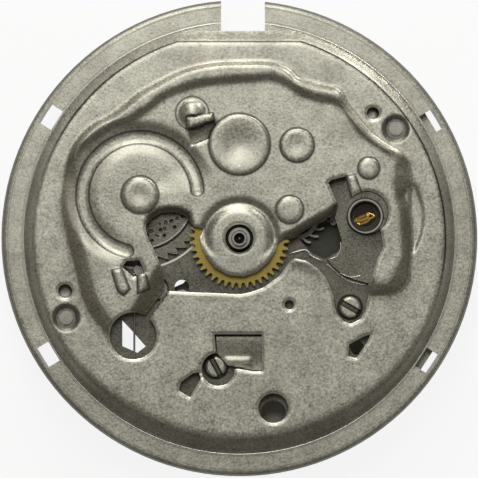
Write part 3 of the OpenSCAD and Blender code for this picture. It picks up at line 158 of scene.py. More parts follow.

# Rounded edges inside the window, drawn as tubes in a bright colour that paints their highlight: points,
# height, radius
HIGHLIGHT_LIPS = (
    (((2.9, -0.94), (3.9, -0.69), (4.32, -1.07), (4.99, -1.36)), 4.44, 0.07),
    (((5.25, -1.27), (5.74, -1.07), (5.98, -0.65), (5.99, -0.2)), 4.76, 0.04),
    (((5.95, -2.05), (6.6, -2.3), (7.3, -2.18)), 4.76, 0.03),
    (((5.15, -1.48), (6.24, -2.4), (7.07, -2.68), (7.61, -2.75)), 4.42, 0.05))

# Stamped bosses: centre, radius of the crease, radius, foot, height in boss heights, edge, dish, steps round
BOSSES = (
    (BARREL_P, 1.13, 1.11, PANEL_Z - 0.06, 1.3, 0.4, 0.04, 72),
    ((0.0, 5.55), 1.84, 1.82, PANEL_Z, 1.0, 0.28, 0.12, 96),
    ((3.41, 5.5), 1.03, 1.02, PANEL_Z, 0.95, 0.28, 0.03, 64),
    ((2.97, 1.69), 0.84, 0.82, PANEL_Z, 0.8, 0.42, 0.0, 56),
    ((7.64, 4.14), 0.66, 0.65, PANEL_Z, 0.9, 0.4, 0.0, 48))

# Radii, widths of slopes and depths on the sheet, in millimetres
PAN_R = 12
CENTRE_HOLE_R = 0.83
BOSS_SHOULDER_R = 2.04
MOAT_R = 2.43
MOAT_W = 0.36
BOWL_W = 0.55
RIDGE_W = 0.42
FORM_W = 0.1
LEFT_BEND_W, LEFT_BEND_H = 0.27, 0.38
BAR_W, BAR_H = 0.5, 0.5
FACET_H = 0.5
CUT_EDGE_W, CUT_EDGE_H = 0.14, 0.075
TERRACE_H, STRIP_H, PAD_H = -0.13, 0.05, 0.11
RIVET_SEAT_R, RIVET_SEAT_W = 0.8, 0.12
GROOVE_R, GROOVE_W = (3.02, 3.79), 0.16
GROOVE_START, GROOVE_SWEEP = math.radians(5), math.radians(252)

# Tongue and lanced tab: heights, thicknesses, and the reach and spacing of their grids
TONGUE_Z, TAB_Z = 4.98, 5.0
TONGUE_T, TAB_T = 0.15, 0.12
INSERT_REACH, INSERT_GRID = 8, 0.12

# Paints: painted shade for dark lines, painted highlights for bright circles, a bright colour on cut edges that
# is partly a real polished edge and partly a painted highlight, painted brown shade on slopes
PAINTED_SHADE = (0.012, 0.012, 0.009)
PAINTED_HIGHLIGHT = (0.75, 0.74, 0.68)
CUT_EDGE_HIGHLIGHT = (0.7, 0.69, 0.64)
SLOPE_SHADE_BROWN = (0.1, 0.08, 0.05)

# Stage: half side of the floor and lamps (name, place, width, colour) in metres, the photograph's width in
# pixels and its scale, and what lies at its middle
FLOOR_HALF = 0.6
LAMPS = (("key", (-0.02, 0.17, 0.11), 0.1, (1.0, 0.98, 0.95)),
         ("edge", (0.11, 0.16, 0.035), 0.06, (1.0, 0.99, 0.96)),
         ("top", (-0.01, 0.085, 0.22), 0.1, (1.0, 1.0, 0.985)))
PHOTO_PX, MM_PER_PX = 478, 0.059244
VIEW_CENTRE = (-0.02, -0.04)


def length(name, description, size, **limits):
    """Property for a length, given in millimetres."""
    return FloatProperty(name=name, description=description, default=size * MM, subtype="DISTANCE",
                         unit="LENGTH", precision=5, **limits)


def colour(name, description, value):
    """Property for a colour."""
    return FloatVectorProperty(name=name, description=description, default=value, subtype="COLOR", size=3,
                               min=0, max=1)


def power(name, description, watts):
    """Property for a lamp's power."""
    return FloatProperty(name=name, description=description, default=watts, min=0, subtype="POWER",
                         unit="POWER")


class SheetSizes(bpy.types.PropertyGroup):
    """Relief of the pressed plate"""
    spacing: length("Grid spacing", "Distance between the sheet's points", 0.1, min=0.05 * MM)
    ridge: length("Ridge", "Height of the wavy bead above the panel", 0.18)
    boss: length("Boss", "Height of a stamped boss above the panel", 0.2)
    groove: length("Groove", "Depth of a stamped groove", 0.13)


class FinishColours(bpy.types.PropertyGroup):
    """Colours of the metals and stones"""
    nickel: colour("Satin nickel", "Colour of the pressed plate and the ring", (0.455, 0.445, 0.375))
    # darker nickel: partly a real duller finish, partly painted shade of the recessed plate
    dark_nickel: colour("Dull nickel", "Colour of the main plate and the cock", (0.145, 0.14, 0.113))
    steel: colour("Steel", "Colour of the steel wheels and levers", (0.33, 0.32, 0.285))
    brass: colour("Brass", "Colour of the brass wheels", (0.36, 0.27, 0.07))
    gilt: colour("Gilt", "Colour of the gilt springs", (0.85, 0.56, 0.14))
    blued: colour("Blued steel", "Colour of the blued springs and screws", (0.03, 0.05, 0.14))
    ruby: colour("Ruby", "Colour of the jewels", (0.45, 0.01, 0.05))


class StageLevels(bpy.types.PropertyGroup):
    """Camera and lamps"""
    key: power("Key lamp", "Power of the lamp beyond the notch", 0.2)
    top: power("Top lamp", "Power of the overhead lamp", 0.17)
    edge: power("Edge lamp", "Power of the low lamp at the upper right", 0.12)
    sky: colour("Surroundings", "Colour of the light from all round", (0.16, 0.155, 0.14))
    lens: FloatProperty(name="Lens", description="Focal length of the camera", default=400, min=20)


# ---- Arrays ----


def as_array(points):
    """Array of floats."""
    return np.array(points, float)


def curve_through(points, steps):
    """Closed smooth curve through the points: each span is a cubic in t whose slopes at its ends are half the
    chords of the neighbours."""
    p = as_array(points)
    a, d, e = np.roll(p, 1, 0), np.roll(p, -1, 0), np.roll(p, -2, 0)
    t = (np.arange(steps) / steps)[None, :, None]
    a, b, d, e = (q[:, None, :] for q in (a, p, d, e))
    out = 0.5 * (2 * b + (d - a) * t + (2 * a - 5 * b + 4 * d - e) * t**2 + (3 * b - a - 3 * d + e) * t**3)
    return out.reshape(-1, 2)


def open_curve(points, steps):
    """The same curve with loose ends: a mirrored point is set before the first and after the last."""
    p = as_array(points)
    return curve_through(np.vstack([2 * p[0] - p[1], p, 2 * p[-1] - p[-2]]), steps)[steps:steps * len(p) + 1]


def within(x, y, outline):
    """Signed distance to a closed outline, positive inside: the shortest distance to its edges, with the sign
    of the parity of edges crossed on the way to +X."""
    p = as_array(outline)
    q = np.roll(p, -1, 0)
    best = np.full(x.shape, 1e9)
    odd = np.zeros(x.shape, bool)
    for (ax, ay), (bx, by) in zip(p, q):
        ex, ey = bx - ax, by - ay
        t = np.clip(((x - ax) * ex + (y - ay) * ey) / max(ex * ex + ey * ey, 1e-12), 0, 1)
        best = np.minimum(best, np.hypot(x - ax - t * ex, y - ay - t * ey))
        if ay != by:
            odd ^= ((ay > y) != (by > y)) & (x < ax + (y - ay) * ex / ey)
    return np.where(odd, best, -best)


def in_circle(x, y, centre, radius):
    """Radius minus the distance from the centre."""
    return radius - np.hypot(x - centre[0], y - centre[1])


def ramp(t, soft=0.12):
    """Straight climb from 0 to 1 over 0 < t < 1 with rounded ends: the difference of two soft corners
    s*log(1 + exp(t/s))."""
    return soft * (np.logaddexp(0, t / soft) - np.logaddexp(0, (t - 1) / soft))


def ease(v, low, high):
    """Smoothstep 3t^2 - 2t^3 of v between low and high."""
    t = np.clip((v - low) / (high - low), 0, 1)
    return t * t * (3 - 2 * t)


BEAD_LINE = np.vstack([open_curve(BEAD, 4), PANEL_CLOSE])
FOOT_LINE = np.vstack([open_curve(FOOT, 4), FOOT_CLOSE])
TERRACE_LINE = curve_through(TERRACE, 4)


def round_barrel(x, y):
    """Radius about the barrel's axis, and the angle from the start of the C-shaped groove."""
    dx, dy = x - BARREL_P[0], y - BARREL_P[1]
    return np.hypot(dx, dy), np.mod(np.arctan2(dy, dx) - GROOVE_START, 2 * np.pi)


def in_groove(x, y):
    """Distance inside the C-shaped groove: half its width less the distance from its middle arc, or from the
    arc's nearer end."""
    mid, half = sum(GROOVE_R) / 2, (GROOVE_R[1] - GROOVE_R[0]) / 2
    r, turn = round_barrel(x, y)
    ends = [np.hypot(x - BARREL_P[0] - mid * math.cos(a), y - BARREL_P[1] - mid * math.sin(a))
            for a in (GROOVE_START, GROOVE_START + GROOVE_SWEEP)]
    return half - np.where(turn < GROOVE_SWEEP, np.abs(r - mid), np.minimum(*ends))


def along_groove(turn):
    """1 over the sweep of the C-shaped groove, with soft ends."""
    return ease(turn, -0.1, 0.6) * (1 - ease(turn, GROOVE_SWEEP - 0.6, GROOVE_SWEEP + 0.1))


def in_window(x, y):
    """Signed distance inside the great window, whose centre boss stays where it overhangs."""
    return np.minimum(within(x, y, WINDOW_EDGE), -within(x, y, BOSS_U))


def upper_left(x, y):
    """1 along the top of the window's left lobe, where the sheet is bent down into it."""
    return ease(-x, 2.2, 2.7) * ease(y, 0.5, 1.3)


def to_cut(x, y):
    """Distance in the metal to the nearest window, slit or hole."""
    metal = LEFT_BEND_W * upper_left(x, y) - in_window(x, y)
    for outline in (SLIT, LANCED_WINDOW, CLICK_WINDOW, TONGUE_WINDOW, *KIDNEYS):
        metal = np.minimum(metal, -within(x, y, outline))
    for cx, cy, cr in ROUND_HOLES:
        metal = np.minimum(metal, -in_circle(x, y, (cx, cy), cr))
    return np.minimum(metal, np.hypot(x, y) - CENTRE_HOLE_R)


def plate_metal(x, y):
    """Signed distance inside the sheet: the rim's circle and chord, less every window and hole."""
    return np.minimum(np.minimum(FRONT_FOOT_R - np.hypot(x, y), CHORD_FOOT_Y - y), to_cut(x, y))


def band(t, low, high, soft):
    """1 for low < t < high, with ends that fade over twice the softness."""
    return ease(t, low - soft, low + soft) * (1 - ease(t, high - soft, high + soft))


def rim_climb(x, y):
    """Way up the outer slope, 0 at its foot and 1 at its top; it is wider along the lower edge."""
    r = np.maximum(np.hypot(x, y), 1e-6)
    wide = FRONT_SLOPE_W + 0.4 * ease(-y / r, 0.45, 0.95)
    return np.minimum((FRONT_FOOT_R - r) / wide, (CHORD_FOOT_Y - y) / CHORD_SLOPE_W)


def bead_step(x, y):
    """Signed distance inside the bead's outer line and the width of its climb, wider low down, along the arm
    at the left and at the right. The numbers are places on the plate in millimetres, here and below."""
    low = ease(-y, -3.0, 1.5)
    arm = ease(-x, 3.2, 4.6) * ease(-y, 0.5, 2.0) * ease(x, -7.6, -6.8)
    left = 1.5 * ease(-x, 6.8, 7.6) * ease(-y, -5.5, -3.0)
    right = 0.35 * ease(x, 8.6, 9.4) * (1 - ease(y, 4.6, 5.6))
    bay = 0.5 * (x > 8.5) * band(y, 3.0, 4.3, 0.5)
    foot = 0.55 * ease(x, 6.0, 7.0) * ease(-y, 1.0, 2.4)
    width = 0.22 + 0.5 * np.maximum(low, left) * (x < 6) + 0.35 * arm + (right + bay) + foot
    return within(x, y, BEAD_LINE), width


def bead_stands(x, y):
    """1 where the bead stands above the panel: the top and the right, and the left only high up."""
    return np.where(x > 0, ease(y, 4.0, 5.2), ease(y, 2.6, 5.8))


def forms(x, y):
    """Signed distance inside the stamped forms that have a crisp outline."""
    d = in_groove(x, y)
    for outline in (*CLICK_PADS, LANCED_BAR, STRIP):
        d = np.maximum(d, within(x, y, outline))
    for centre, radius, *_ in BOSSES:
        d = np.maximum(d, in_circle(x, y, centre, radius))
    dome = np.minimum(in_circle(x, y, *DOME_G), -within(x, y, LANCED_BAR))
    return np.maximum(d, dome)


def above_boss(y):
    """1 over the upper half of the centre boss, where the moat is; the lower half runs out flat."""
    return ease(y, -1.2, 0.2)


def plate_relief(x, y, sizes):
    """Height of the sheet's face: a pan whose rim climbs to the outer flat, an inner panel a step higher, a
    wavy bead that stands above both at the top and the sides, a bowl with a C-shaped groove over the barrel,
    the moat round the centre boss, and small forms."""
    ridge, boss, groove = sizes.ridge / MM, sizes.boss / MM, sizes.groove / MM
    z = RIM_Z + (PLATEAU_Z - RIM_Z) * ramp(rim_climb(x, y))
    outer, step_w = bead_step(x, y)
    step = ramp(outer / step_w, 0.15)
    z += (PANEL_Z - PLATEAU_Z) * step
    z += ridge * bead_stands(x, y) * step * ramp(-within(x, y, FOOT_LINE) / RIDGE_W)

    moat = in_circle(x, y, CENTRE, MOAT_R)
    shoulder = ramp(in_circle(x, y, CENTRE, BOSS_SHOULDER_R) / MOAT_W, 0.2)
    z -= 1.7 * groove * ramp(moat / MOAT_W) * (1 - shoulder) * above_boss(y)
    z += 0.5 * boss * np.maximum(shoulder, (1 - above_boss(y)) * ramp(moat / 0.3, 0.1))

    r, turn = round_barrel(x, y)
    sweep = along_groove(turn)
    z -= 1.3 * groove * sweep * (1 - ramp((r - GROOVE_R[1]) / BOWL_W, 0.15))
    z += 0.9 * groove * sweep * ramp((GROOVE_R[0] - r) / 0.5, 0.2)
    z -= 0.65 * groove * ramp(in_groove(x, y) / GROOVE_W, 0.15)

    for outline, rise in ((LANCED_BAR, 1.2 * boss), (STRIP, STRIP_H), (TERRACE_LINE, TERRACE_H),
                          *((pad, PAD_H) for pad in CLICK_PADS)):
        z += rise * ramp(within(x, y, outline) / FORM_W, 0.15)
    (gx, gy), dome_r = DOME_G
    dome_r2 = dome_r**2 - (x - gx) ** 2 - (y - gy) ** 2
    dome = PANEL_Z - 0.6 + np.sqrt(np.maximum(dome_r2, 0))
    z = np.where((dome_r2 > 0) & (within(x, y, LANCED_BAR) < 0.02), np.maximum(z, dome), z)

    window = in_window(x, y)
    z -= LEFT_BEND_H * upper_left(x, y) * ramp((window + 0.04) / LEFT_BEND_W)
    z -= BAR_H * bent_bar(x, y) * np.clip(1 + window / BAR_W, 0, 1.2) ** 1.4
    z -= FACET_H * on_facet(x, y)
    z -= CUT_EDGE_H * np.clip(1 - to_cut(x, y) / CUT_EDGE_W, 0, 1) ** 2
    for p in RIVET_P:
        z -= groove * ramp(in_circle(x, y, p, RIVET_SEAT_R) / RIVET_SEAT_W, 0.15)
    return z


def bent_bar(x, y):
    """1 along the window's upper edge beside the escape wheel, where the sheet is bent down."""
    slant = y - 1.4 - 0.55 * (x - 5.72)
    return ease(x, 2.2, 2.8) * ease(-x, -6.0, -5.8) * (y > -0.6) * (1 - ease(slant, 0.5, 0.7))


def on_facet(x, y):
    """Way down the inclined arm between the left window and the round one, from 0 at its upper side."""
    (ax, ay), (bx, by) = FACET_SIDE
    side = ((x - ax) * (ay - by) + (y - ay) * (bx - ax)) / math.hypot(bx - ax, by - ay)
    return (within(x, y, FACET) > -0.05) * ramp(side / FACET_W, 0.08)


def painted_slope_shade(x, y):
    """Painted brown shade on the sheet's slopes, the strongest of several: the outer slope at the sides and the
    foot, the bead's two slopes, the moat, the bowl and the barrel's disc, the arm and the bent edges."""
    r = np.maximum(np.hypot(x, y), 1e-6)
    outer, step_w = bead_step(x, y)
    climb = outer / step_w
    side = np.where(x < 0, 1 - ease(y, 4.5, 7.5), ease(x, 6.5, 7.5) * (1 - ease(y, 4.7, 5.3)))
    (g0, g1), (rb, turn) = GROOVE_R, round_barrel(x, y)
    sweep, turn = along_groove(turn), turn + GROOVE_START
    window = in_window(x, y)
    films = (
        0.6 * band(rim_climb(x, y), 0.05, 0.95, 0.12) * (1 - ease(y / r, 0.2, 0.6)),
        (1 - 0.35 * np.clip(climb, 0, 1)) * band(climb, 0.06, 0.97, 0.08) * side * (r < PAN_R),
        0.6 * band(within(x, y, FOOT_LINE), -RIDGE_W, 0.0, 0.08) * bead_stands(x, y),
        0.5 * band(r, BOSS_SHOULDER_R, MOAT_R, 0.06) * above_boss(y),
        0.55 * sweep * band(rb, g1, g1 + BOWL_W, 0.12) * ease(np.cos(turn - 1.05), 0.45, 0.9),
        0.45 * sweep * band(rb, g0 - 0.4, g0, 0.15) * ease(np.cos(turn - 3.8), 0.4, 0.95),
        0.6 * (on_facet(x, y) > 0.03),
        0.9 * upper_left(x, y) * (window > -0.06),
        0.75 * bent_bar(x, y) * (window > -BAR_W))
    return np.clip(np.maximum.reduce(films), 0, 1)


def across_tab(x, y):
    """Share of the way across the lanced window, from 0 at its lower side to 1 at its upper side."""
    (ax, ay), (bx, by) = LANCED_WINDOW[3], LANCED_WINDOW[0]
    return ((x - ax) * (bx - ax) + (y - ay) * (by - ay) - (x - ax) * 0.3) / ((bx - ax) ** 2 + (by - ay) ** 2)


def rim_top(x, y):
    """Signed distance inside the outer slope's top edge."""
    return np.minimum(FRONT_FOOT_R - FRONT_SLOPE_W - np.hypot(x, y), CHORD_FOOT_Y - CHORD_SLOPE_W - y)


def upper_crease_shade(x, y):
    """1 over the upper part of the plate, where the crease at the slope's top gets painted shade."""
    return ease(y + 0.35 * x, -1.0, 4.0)


def lower_right(x, y):
    """One half along the bead's outer line at the right, below the ridge: the strength of the painted shade in
    the step's crease there.
    """
    reach = ease(x, 8.6, 9.2) * (1 - ease(y, 4.2, 5.0)) * ease(y, -3.6, -3.2)
    return reach * (np.hypot(x, y) < PAN_R) * 0.5


def tongue_relief(x, y):
    """Height of the tongue: it sinks towards its lower end, and a bar stands on it."""
    return TONGUE_Z - 0.2 * ease(-y, 5.9, 7.6) + 0.1 * ramp(within(x, y, TONGUE_BAR) / 0.12)


def tab_relief(x, y):
    """Height of the lanced tab: it rises straight from the window's lower side to its upper side."""
    return TAB_Z + 0.2 * (across_tab(x, y) - 0.5)


def cut_sheet(height, metal, extent, spacing, thickness):
    """A square grid over -extent..extent. A cell stays where its middle lies in the metal, the border points
    of what stays are moved along the distance's slope onto the outline, the face is z = height(x, y), and
    the back is the face lowered by the thickness, joined by one wall per border edge."""
    n = int(round(2 * extent / spacing)) + 1
    axis = np.linspace(-extent, extent, n)
    x, y = np.meshgrid(axis, axis, indexing="ij")
    mid = (axis[1:] + axis[:-1]) / 2
    keep = metal(*np.meshgrid(mid, mid, indexing="ij")) > 0
    ring = np.pad(keep, 1)
    around = ring[1:, 1:].astype(int) + ring[:-1, 1:] + ring[1:, :-1] + ring[:-1, :-1]
    used = around > 0
    border = used & (around < 4)
    bx, by = x[border], y[border]
    e = spacing * 0.05
    for _ in range(4):
        d = metal(bx, by)
        gx = (metal(bx + e, by) - metal(bx - e, by)) / (2 * e)
        gy = (metal(bx, by + e) - metal(bx, by - e)) / (2 * e)
        g = np.maximum(gx * gx + gy * gy, 0.25)
        move = np.clip(d / g, -0.5 * spacing, 0.5 * spacing)
        bx, by = bx - gx * move, by - gy * move
    x[border], y[border] = bx, by
    number = np.full(x.shape, -1)
    number[used] = np.arange(used.sum())
    i, j = np.nonzero(keep)
    quads = np.stack([number[i, j], number[i + 1, j], number[i + 1, j + 1], number[i, j + 1]], 1)
    xs, ys = x[used], y[used]
    top = np.stack([xs, ys, height(xs, ys)], 1)
    edges = np.concatenate([quads[:, [k, (k + 1) % 4]] for k in range(4)])
    key = np.sort(edges, 1) @ np.array([len(top), 1])
    once = np.unique(key, return_counts=True, return_index=True)
    rim = edges[once[1][once[2] == 1]]
    low = top - [0, 0, thickness]
    m = len(top)
    walls = np.stack([rim[:, 1], rim[:, 0], rim[:, 0] + m, rim[:, 1] + m], 1)
    return np.vstack([top, low]), np.vstack([quads, quads[:, ::-1] + m, walls])


def grid_quads(rows, columns, closed=False):
    """Quads between neighbouring rows of points, each row a ring; closed joins the last row to the first."""
    i, j = np.meshgrid(np.arange(rows if closed else rows - 1), np.arange(columns), indexing="ij")
    k, m = (j + 1) % columns, (i + 1) % rows
    return np.stack([i * columns + j, i * columns + k, m * columns + k, m * columns + j], 2).reshape(-1, 4)


def turned(profile, centre, steps):
    """Surface of revolution about the centre's vertical: each point (r, z) of the profile goes round a full
    circle; a profile that starts and ends on the axis closes into a pole."""
    prof = as_array(profile)
    t = np.linspace(0, 2 * np.pi, steps, endpoint=False)
    x = centre[0] + prof[:, 0, None] * np.cos(t)
    y = centre[1] + prof[:, 0, None] * np.sin(t)
    z = np.broadcast_to(prof[:, 1, None], x.shape)
    return np.stack([x, y, z], 2).reshape(-1, 3), grid_quads(len(prof), steps)


def boss_profile(radius, base, height, edge, dish):
    """Half section of a pressed disc: under the sheet, up a rounded edge that is a quarter superellipse of the
    edge's width, then a face that sinks as a cosine bowl of the dish's depth to the axis."""
    a = np.linspace(0, np.pi / 2, 7)
    side = np.stack([radius - edge * (1 - np.cos(a) ** 0.8), base + height * np.sin(a) ** 0.9], 1)
    r = np.linspace(radius - edge, 0, 14)[1:]
    face = np.stack([r, base + height - dish * (0.5 + 0.5 * np.cos(np.pi * r / (radius - edge)))], 1)
    return np.vstack([[0, base - 0.2], [radius, base - 0.2], side, face])


def tube_along(path, radius, sides=10, closed=False):
    """Tube round a curve: at each point a ring radius*(cos a * across + sin a * up), where across is the
    tangent turned about Z and up is square to both; open ends shrink to a point."""
    path = as_array(path)
    n = len(path)
    nxt, prv = (np.roll(path, -1, 0), np.roll(path, 1, 0)) if closed else (
        np.vstack([path[1:], path[-1:]]), np.vstack([path[:1], path[:-1]]))
    tangent = nxt - prv
    tangent /= np.linalg.norm(tangent, axis=1)[:, None]
    across = np.stack([tangent[:, 1], -tangent[:, 0], np.zeros(n)], 1)
    across /= np.maximum(np.linalg.norm(across, axis=1), 1e-9)[:, None]
    up = np.cross(across, tangent)
    a = np.linspace(0, 2 * np.pi, sides, endpoint=False)
    to_end = np.minimum(np.arange(n), np.arange(n)[::-1])
    size = np.full(n, radius) if closed else radius * np.minimum(1, to_end * 0.6 + 1e-4)
    ring = np.cos(a)[None, :, None] * across[:, None] + np.sin(a)[None, :, None] * up[:, None]
    verts = (path[:, None] + size[:, None, None] * ring).reshape(-1, 3)
    return verts, grid_quads(n, sides, closed)[:, [0, 3, 2, 1]]


def at_height(path, z):
    """A flat path set at a height, or at one height per point."""
    return np.column_stack([path, np.broadcast_to(z, len(path))])


def screw_head(centre, radius, top, turn, low, slot, side=1.0):
    """Round head pressed from a square grid, with a rounded edge and a slot across it, over a turned shank.
    The grid lies along the slot; side -1 makes the head look down."""
    def height(x, y):
        rounding = 0.1 * np.clip(1 - (radius - np.hypot(x, y)) / 0.16, 0, 1) ** 2
        return top * side - rounding - slot[1] * ramp((slot[0] / 2 - np.abs(y)) / 0.04 + 0.5, 0.1)
    head = cut_sheet(height, lambda x, y: radius - np.hypot(x, y), radius + 0.06, radius / 18, 0.26)
    neck = top * side - 0.3
    shank = turned([(0, low * side), (SCREW_SHANK_R, low * side), (SCREW_SHANK_R, neck), (0, neck)], CENTRE, 24)
    out = []
    for (v, f), angle in ((head, math.radians(turn)), (shank, 0.0)):
        c, s = math.cos(angle), math.sin(angle)
        v = np.stack([v[:, 0] * c - v[:, 1] * s, v[:, 0] * s + v[:, 1] * c, v[:, 2]], 1)
        if side < 0:
            v, f = v * [1, 1, -1], f[:, ::-1]
        out.append((v + [*centre, 0], f))
    return joined(*out)


def hair_coil(radii, turns, start):
    """Flat spring about the balance's axis: the radius grows evenly with the angle, and an upright rectangle
    goes along it."""
    (r0, r1), (z0, z1), half = radii, HAIR_Z, HAIR_T / 2
    t = np.linspace(0, 1, int(turns * HAIR_STEPS) + 1)
    a, r = start + 2 * np.pi * turns * t, r0 + (r1 - r0) * t
    pts = []
    for off, z in ((-half, z0), (half, z0), (half, z1), (-half, z1)):
        pts.append(np.stack([BALANCE_P[0] + (r + off) * np.cos(a), BALANCE_P[1] + (r + off) * np.sin(a),
                             np.full(a.shape, z)], 1))
    verts = np.stack(pts, 1).reshape(-1, 3)
    e = 4 * (len(t) - 1)
    return verts, np.vstack([grid_quads(len(t), 4), [[3, 2, 1, 0]], [[e, e + 1, e + 2, e + 3]]])


def joined(*parts):
    """Several (points, quads) put one after the other."""
    verts, faces, start = [], [], 0
    for v, f in parts:
        verts.append(v)
        faces.append(f + start)
        start += len(v)
    return np.vstack(verts), np.vstack(faces)


def add_object(name, data):
    """New object in the scene, at the origin."""
    obj = bpy.data.objects.new(name, data)
    bpy.context.scene.collection.objects.link(obj)
    return obj


def make_piece(name, shape, finish, slot, replaces=(), body="frame", sharp=50, **masks):
    """Puts arrays into a mesh, with each mask stored on its points, parents the piece to the body it rides on
    and hides the nodes it stands for. The slot is not used."""
    verts, quads = shape
    mesh = bpy.data.meshes.new(name)
    co = np.ascontiguousarray(verts * MM, np.float32)
    mesh.vertices.add(len(co))
    mesh.vertices.foreach_set("co", co.ravel())
    mesh.loops.add(quads.size)
    mesh.loops.foreach_set("vertex_index", np.ascontiguousarray(quads, np.int32).ravel())
    mesh.polygons.add(len(quads))
    mesh.polygons.foreach_set("loop_start", np.arange(0, quads.size, 4, dtype=np.int32))
    mesh.update(calc_edges=True)
    for mask, values in masks.items():
        data = mesh.attributes.new(mask, "FLOAT", "POINT").data
        data.foreach_set("value", np.ascontiguousarray(values, np.float32))
    mesh.validate()
    mesh.polygons.foreach_set("use_smooth", np.ones(len(mesh.polygons), bool))
    mesh.set_sharp_from_angle(angle=math.radians(sharp))
    mesh.materials.append(MATERIALS[finish])
    piece = add_object(name, mesh)
    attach(piece, body)
    if replaces:
        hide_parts(*replaces)


# ---- Node groups and materials ----


class Wires:
    """Short way to place nodes in one tree."""

    def __init__(self, tree):
        self.tree = tree

    def put(self, kind, inputs=(), **settings):
        """New node, with its inputs fed and its settings made."""
        node = self.tree.nodes.new("ShaderNode" + kind)
        for key, value in settings.items():
            setattr(node, key, value)
        for key, value in dict(inputs).items():
            self.feed(node.inputs[key], value)
        return node

    def feed(self, socket, value):
        """Links another node's output to the socket, or sets the socket's value."""
        if isinstance(value, bpy.types.NodeSocket):
            self.tree.links.new(value, socket)
        else:
            socket.default_value = value

    def math(self, operation, *values, clamp=False):
        return self.put("Math", enumerate(values), operation=operation, use_clamp=clamp).outputs[0]

    def times(self, a, b):
        return self.math("MULTIPLY", a, b)

    def mix(self, factor, a, b):
        """Colour a turning into colour b; the Mix node's colours are its sockets 6 and 7 and its output 2."""
        node = self.put("Mix", data_type="RGBA")
        for key, value in ((0, factor), (6, a), (7, b)):
            self.feed(node.inputs[key], (*value, 1) if isinstance(value, tuple) else value)
        return node.outputs[2]

    def range(self, value, a, b, c=0.0, d=1.0):
        """The value moved from a..b to c..d, and held there."""
        return self.put("MapRange", {0: value, 1: a, 2: b, 3: c, 4: d}).outputs[0]

    def group(self, name, *inputs):
        """Outputs of one of the groups below, given its inputs in order."""
        node = self.tree.nodes.new("ShaderNodeGroup")
        node.node_tree = GROUPS[name]
        for key, value in enumerate(inputs):
            self.feed(node.inputs[key], value)
        return node.outputs

    def stored(self, name):
        """A mask from the piece's points."""
        return self.put("Attribute", attribute_name=name).outputs["Fac"]

    def near(self, name, close, far, strength):
        """The strength where the stored distance is under close, fading to 0 at far."""
        return self.range(self.math("ABSOLUTE", self.stored(name)), close, far, strength, 0.0)

    def circle(self, place, centre, radius, width):
        """Circular mark with its sizes in millimetres."""
        return self.group("line", place, (centre[0] * MM, centre[1] * MM, 0), radius * MM, width * MM)[0]


def new_group(name, inputs, outputs):
    """Empty shader node group: a number is a float input's default, None makes a vector input, and the outputs
    are floats. Gives its wires, its input values and its output sockets."""
    group = bpy.data.node_groups.new(name, "ShaderNodeTree")
    for label, value in inputs.items():
        kind = "NodeSocketVector" if value is None else "NodeSocketFloat"
        socket = group.interface.new_socket(label, in_out="INPUT", socket_type=kind)
        if value is not None:
            socket.default_value = value
    for label in outputs:
        group.interface.new_socket(label, in_out="OUTPUT", socket_type="NodeSocketFloat")
    given = list(group.nodes.new("NodeGroupInput").outputs)[:len(inputs)]
    return Wires(group), given, group.nodes.new("NodeGroupOutput").inputs


def grain_group():
    """Blasted grain: two sizes of noise give a shade round 1 and a height; sparse cells give bright grains and
    dark pits."""
    inputs = {"Vector": None, "Scale": 9000.0, "Contrast": 0.2}
    w, (place, scale, contrast), out = new_group("Blasted grain", inputs, ("Shade", "Height", "Glint", "Pit"))
    fine = w.put("TexNoise", {"Vector": place, "Scale": scale, "Detail": 2.0, "Roughness": 0.6}).outputs[0]
    coarse = w.put("TexNoise", {"Vector": place, "Scale": w.times(scale, 0.12), "Detail": 3.0}).outputs[0]
    both = w.math("ADD", w.times(fine, 0.7), w.times(coarse, 0.3))
    shade = w.math("MULTIPLY_ADD", w.times(w.math("SUBTRACT", both, 0.5), contrast), 2.0, 1.0)
    cells = w.put("TexVoronoi", {"Vector": place, "Scale": w.times(scale, 0.35)})
    spot = w.range(cells.outputs["Distance"], 0.12, 0.3, 1.0, 0.0)
    parts = w.put("SeparateColor", {0: cells.outputs["Color"]})
    glint = w.times(spot, w.range(parts.outputs[0], 0.93, 0.99))
    pit = w.times(spot, w.range(parts.outputs[1], 0.9, 0.98))
    for k, value in enumerate((shade, fine, glint, pit)):
        w.feed(out[k], value)
    return w.tree


def stain_group():
    """Cloudy stain: slow noise, stretched between two levels, as a mask."""
    w, (place, scale, amount), out = new_group(
        "Cloudy stain", {"Vector": None, "Scale": 400.0, "Amount": 0.3}, ("Mask",))
    noise = w.put("TexNoise", {"Vector": place, "Scale": scale, "Detail": 5.0, "Roughness": 0.6})
    w.feed(out[0], w.times(w.range(noise.outputs[0], 0.4, 0.7), amount))
    return w.tree


def line_group():
    """Circular mark: 1 within half the width of a circle round a centre, fading to 0 over the other half."""
    w, (place, centre, radius, width), out = new_group(
        "Circle mark", {"Vector": None, "Centre": None, "Radius": 0.001, "Width": 0.0001}, ("Mask",))
    flat = w.put("VectorMath", {0: place, 1: (1, 1, 0)}, operation="MULTIPLY")
    away = w.put("VectorMath", {0: flat.outputs[0], 1: centre}, operation="DISTANCE").outputs["Value"]
    off = w.math("ABSOLUTE", w.math("SUBTRACT", away, radius))
    w.feed(out[0], w.math("MULTIPLY_ADD", w.math("DIVIDE", off, width), -2.0, 2.0, clamp=True))
    return w.tree


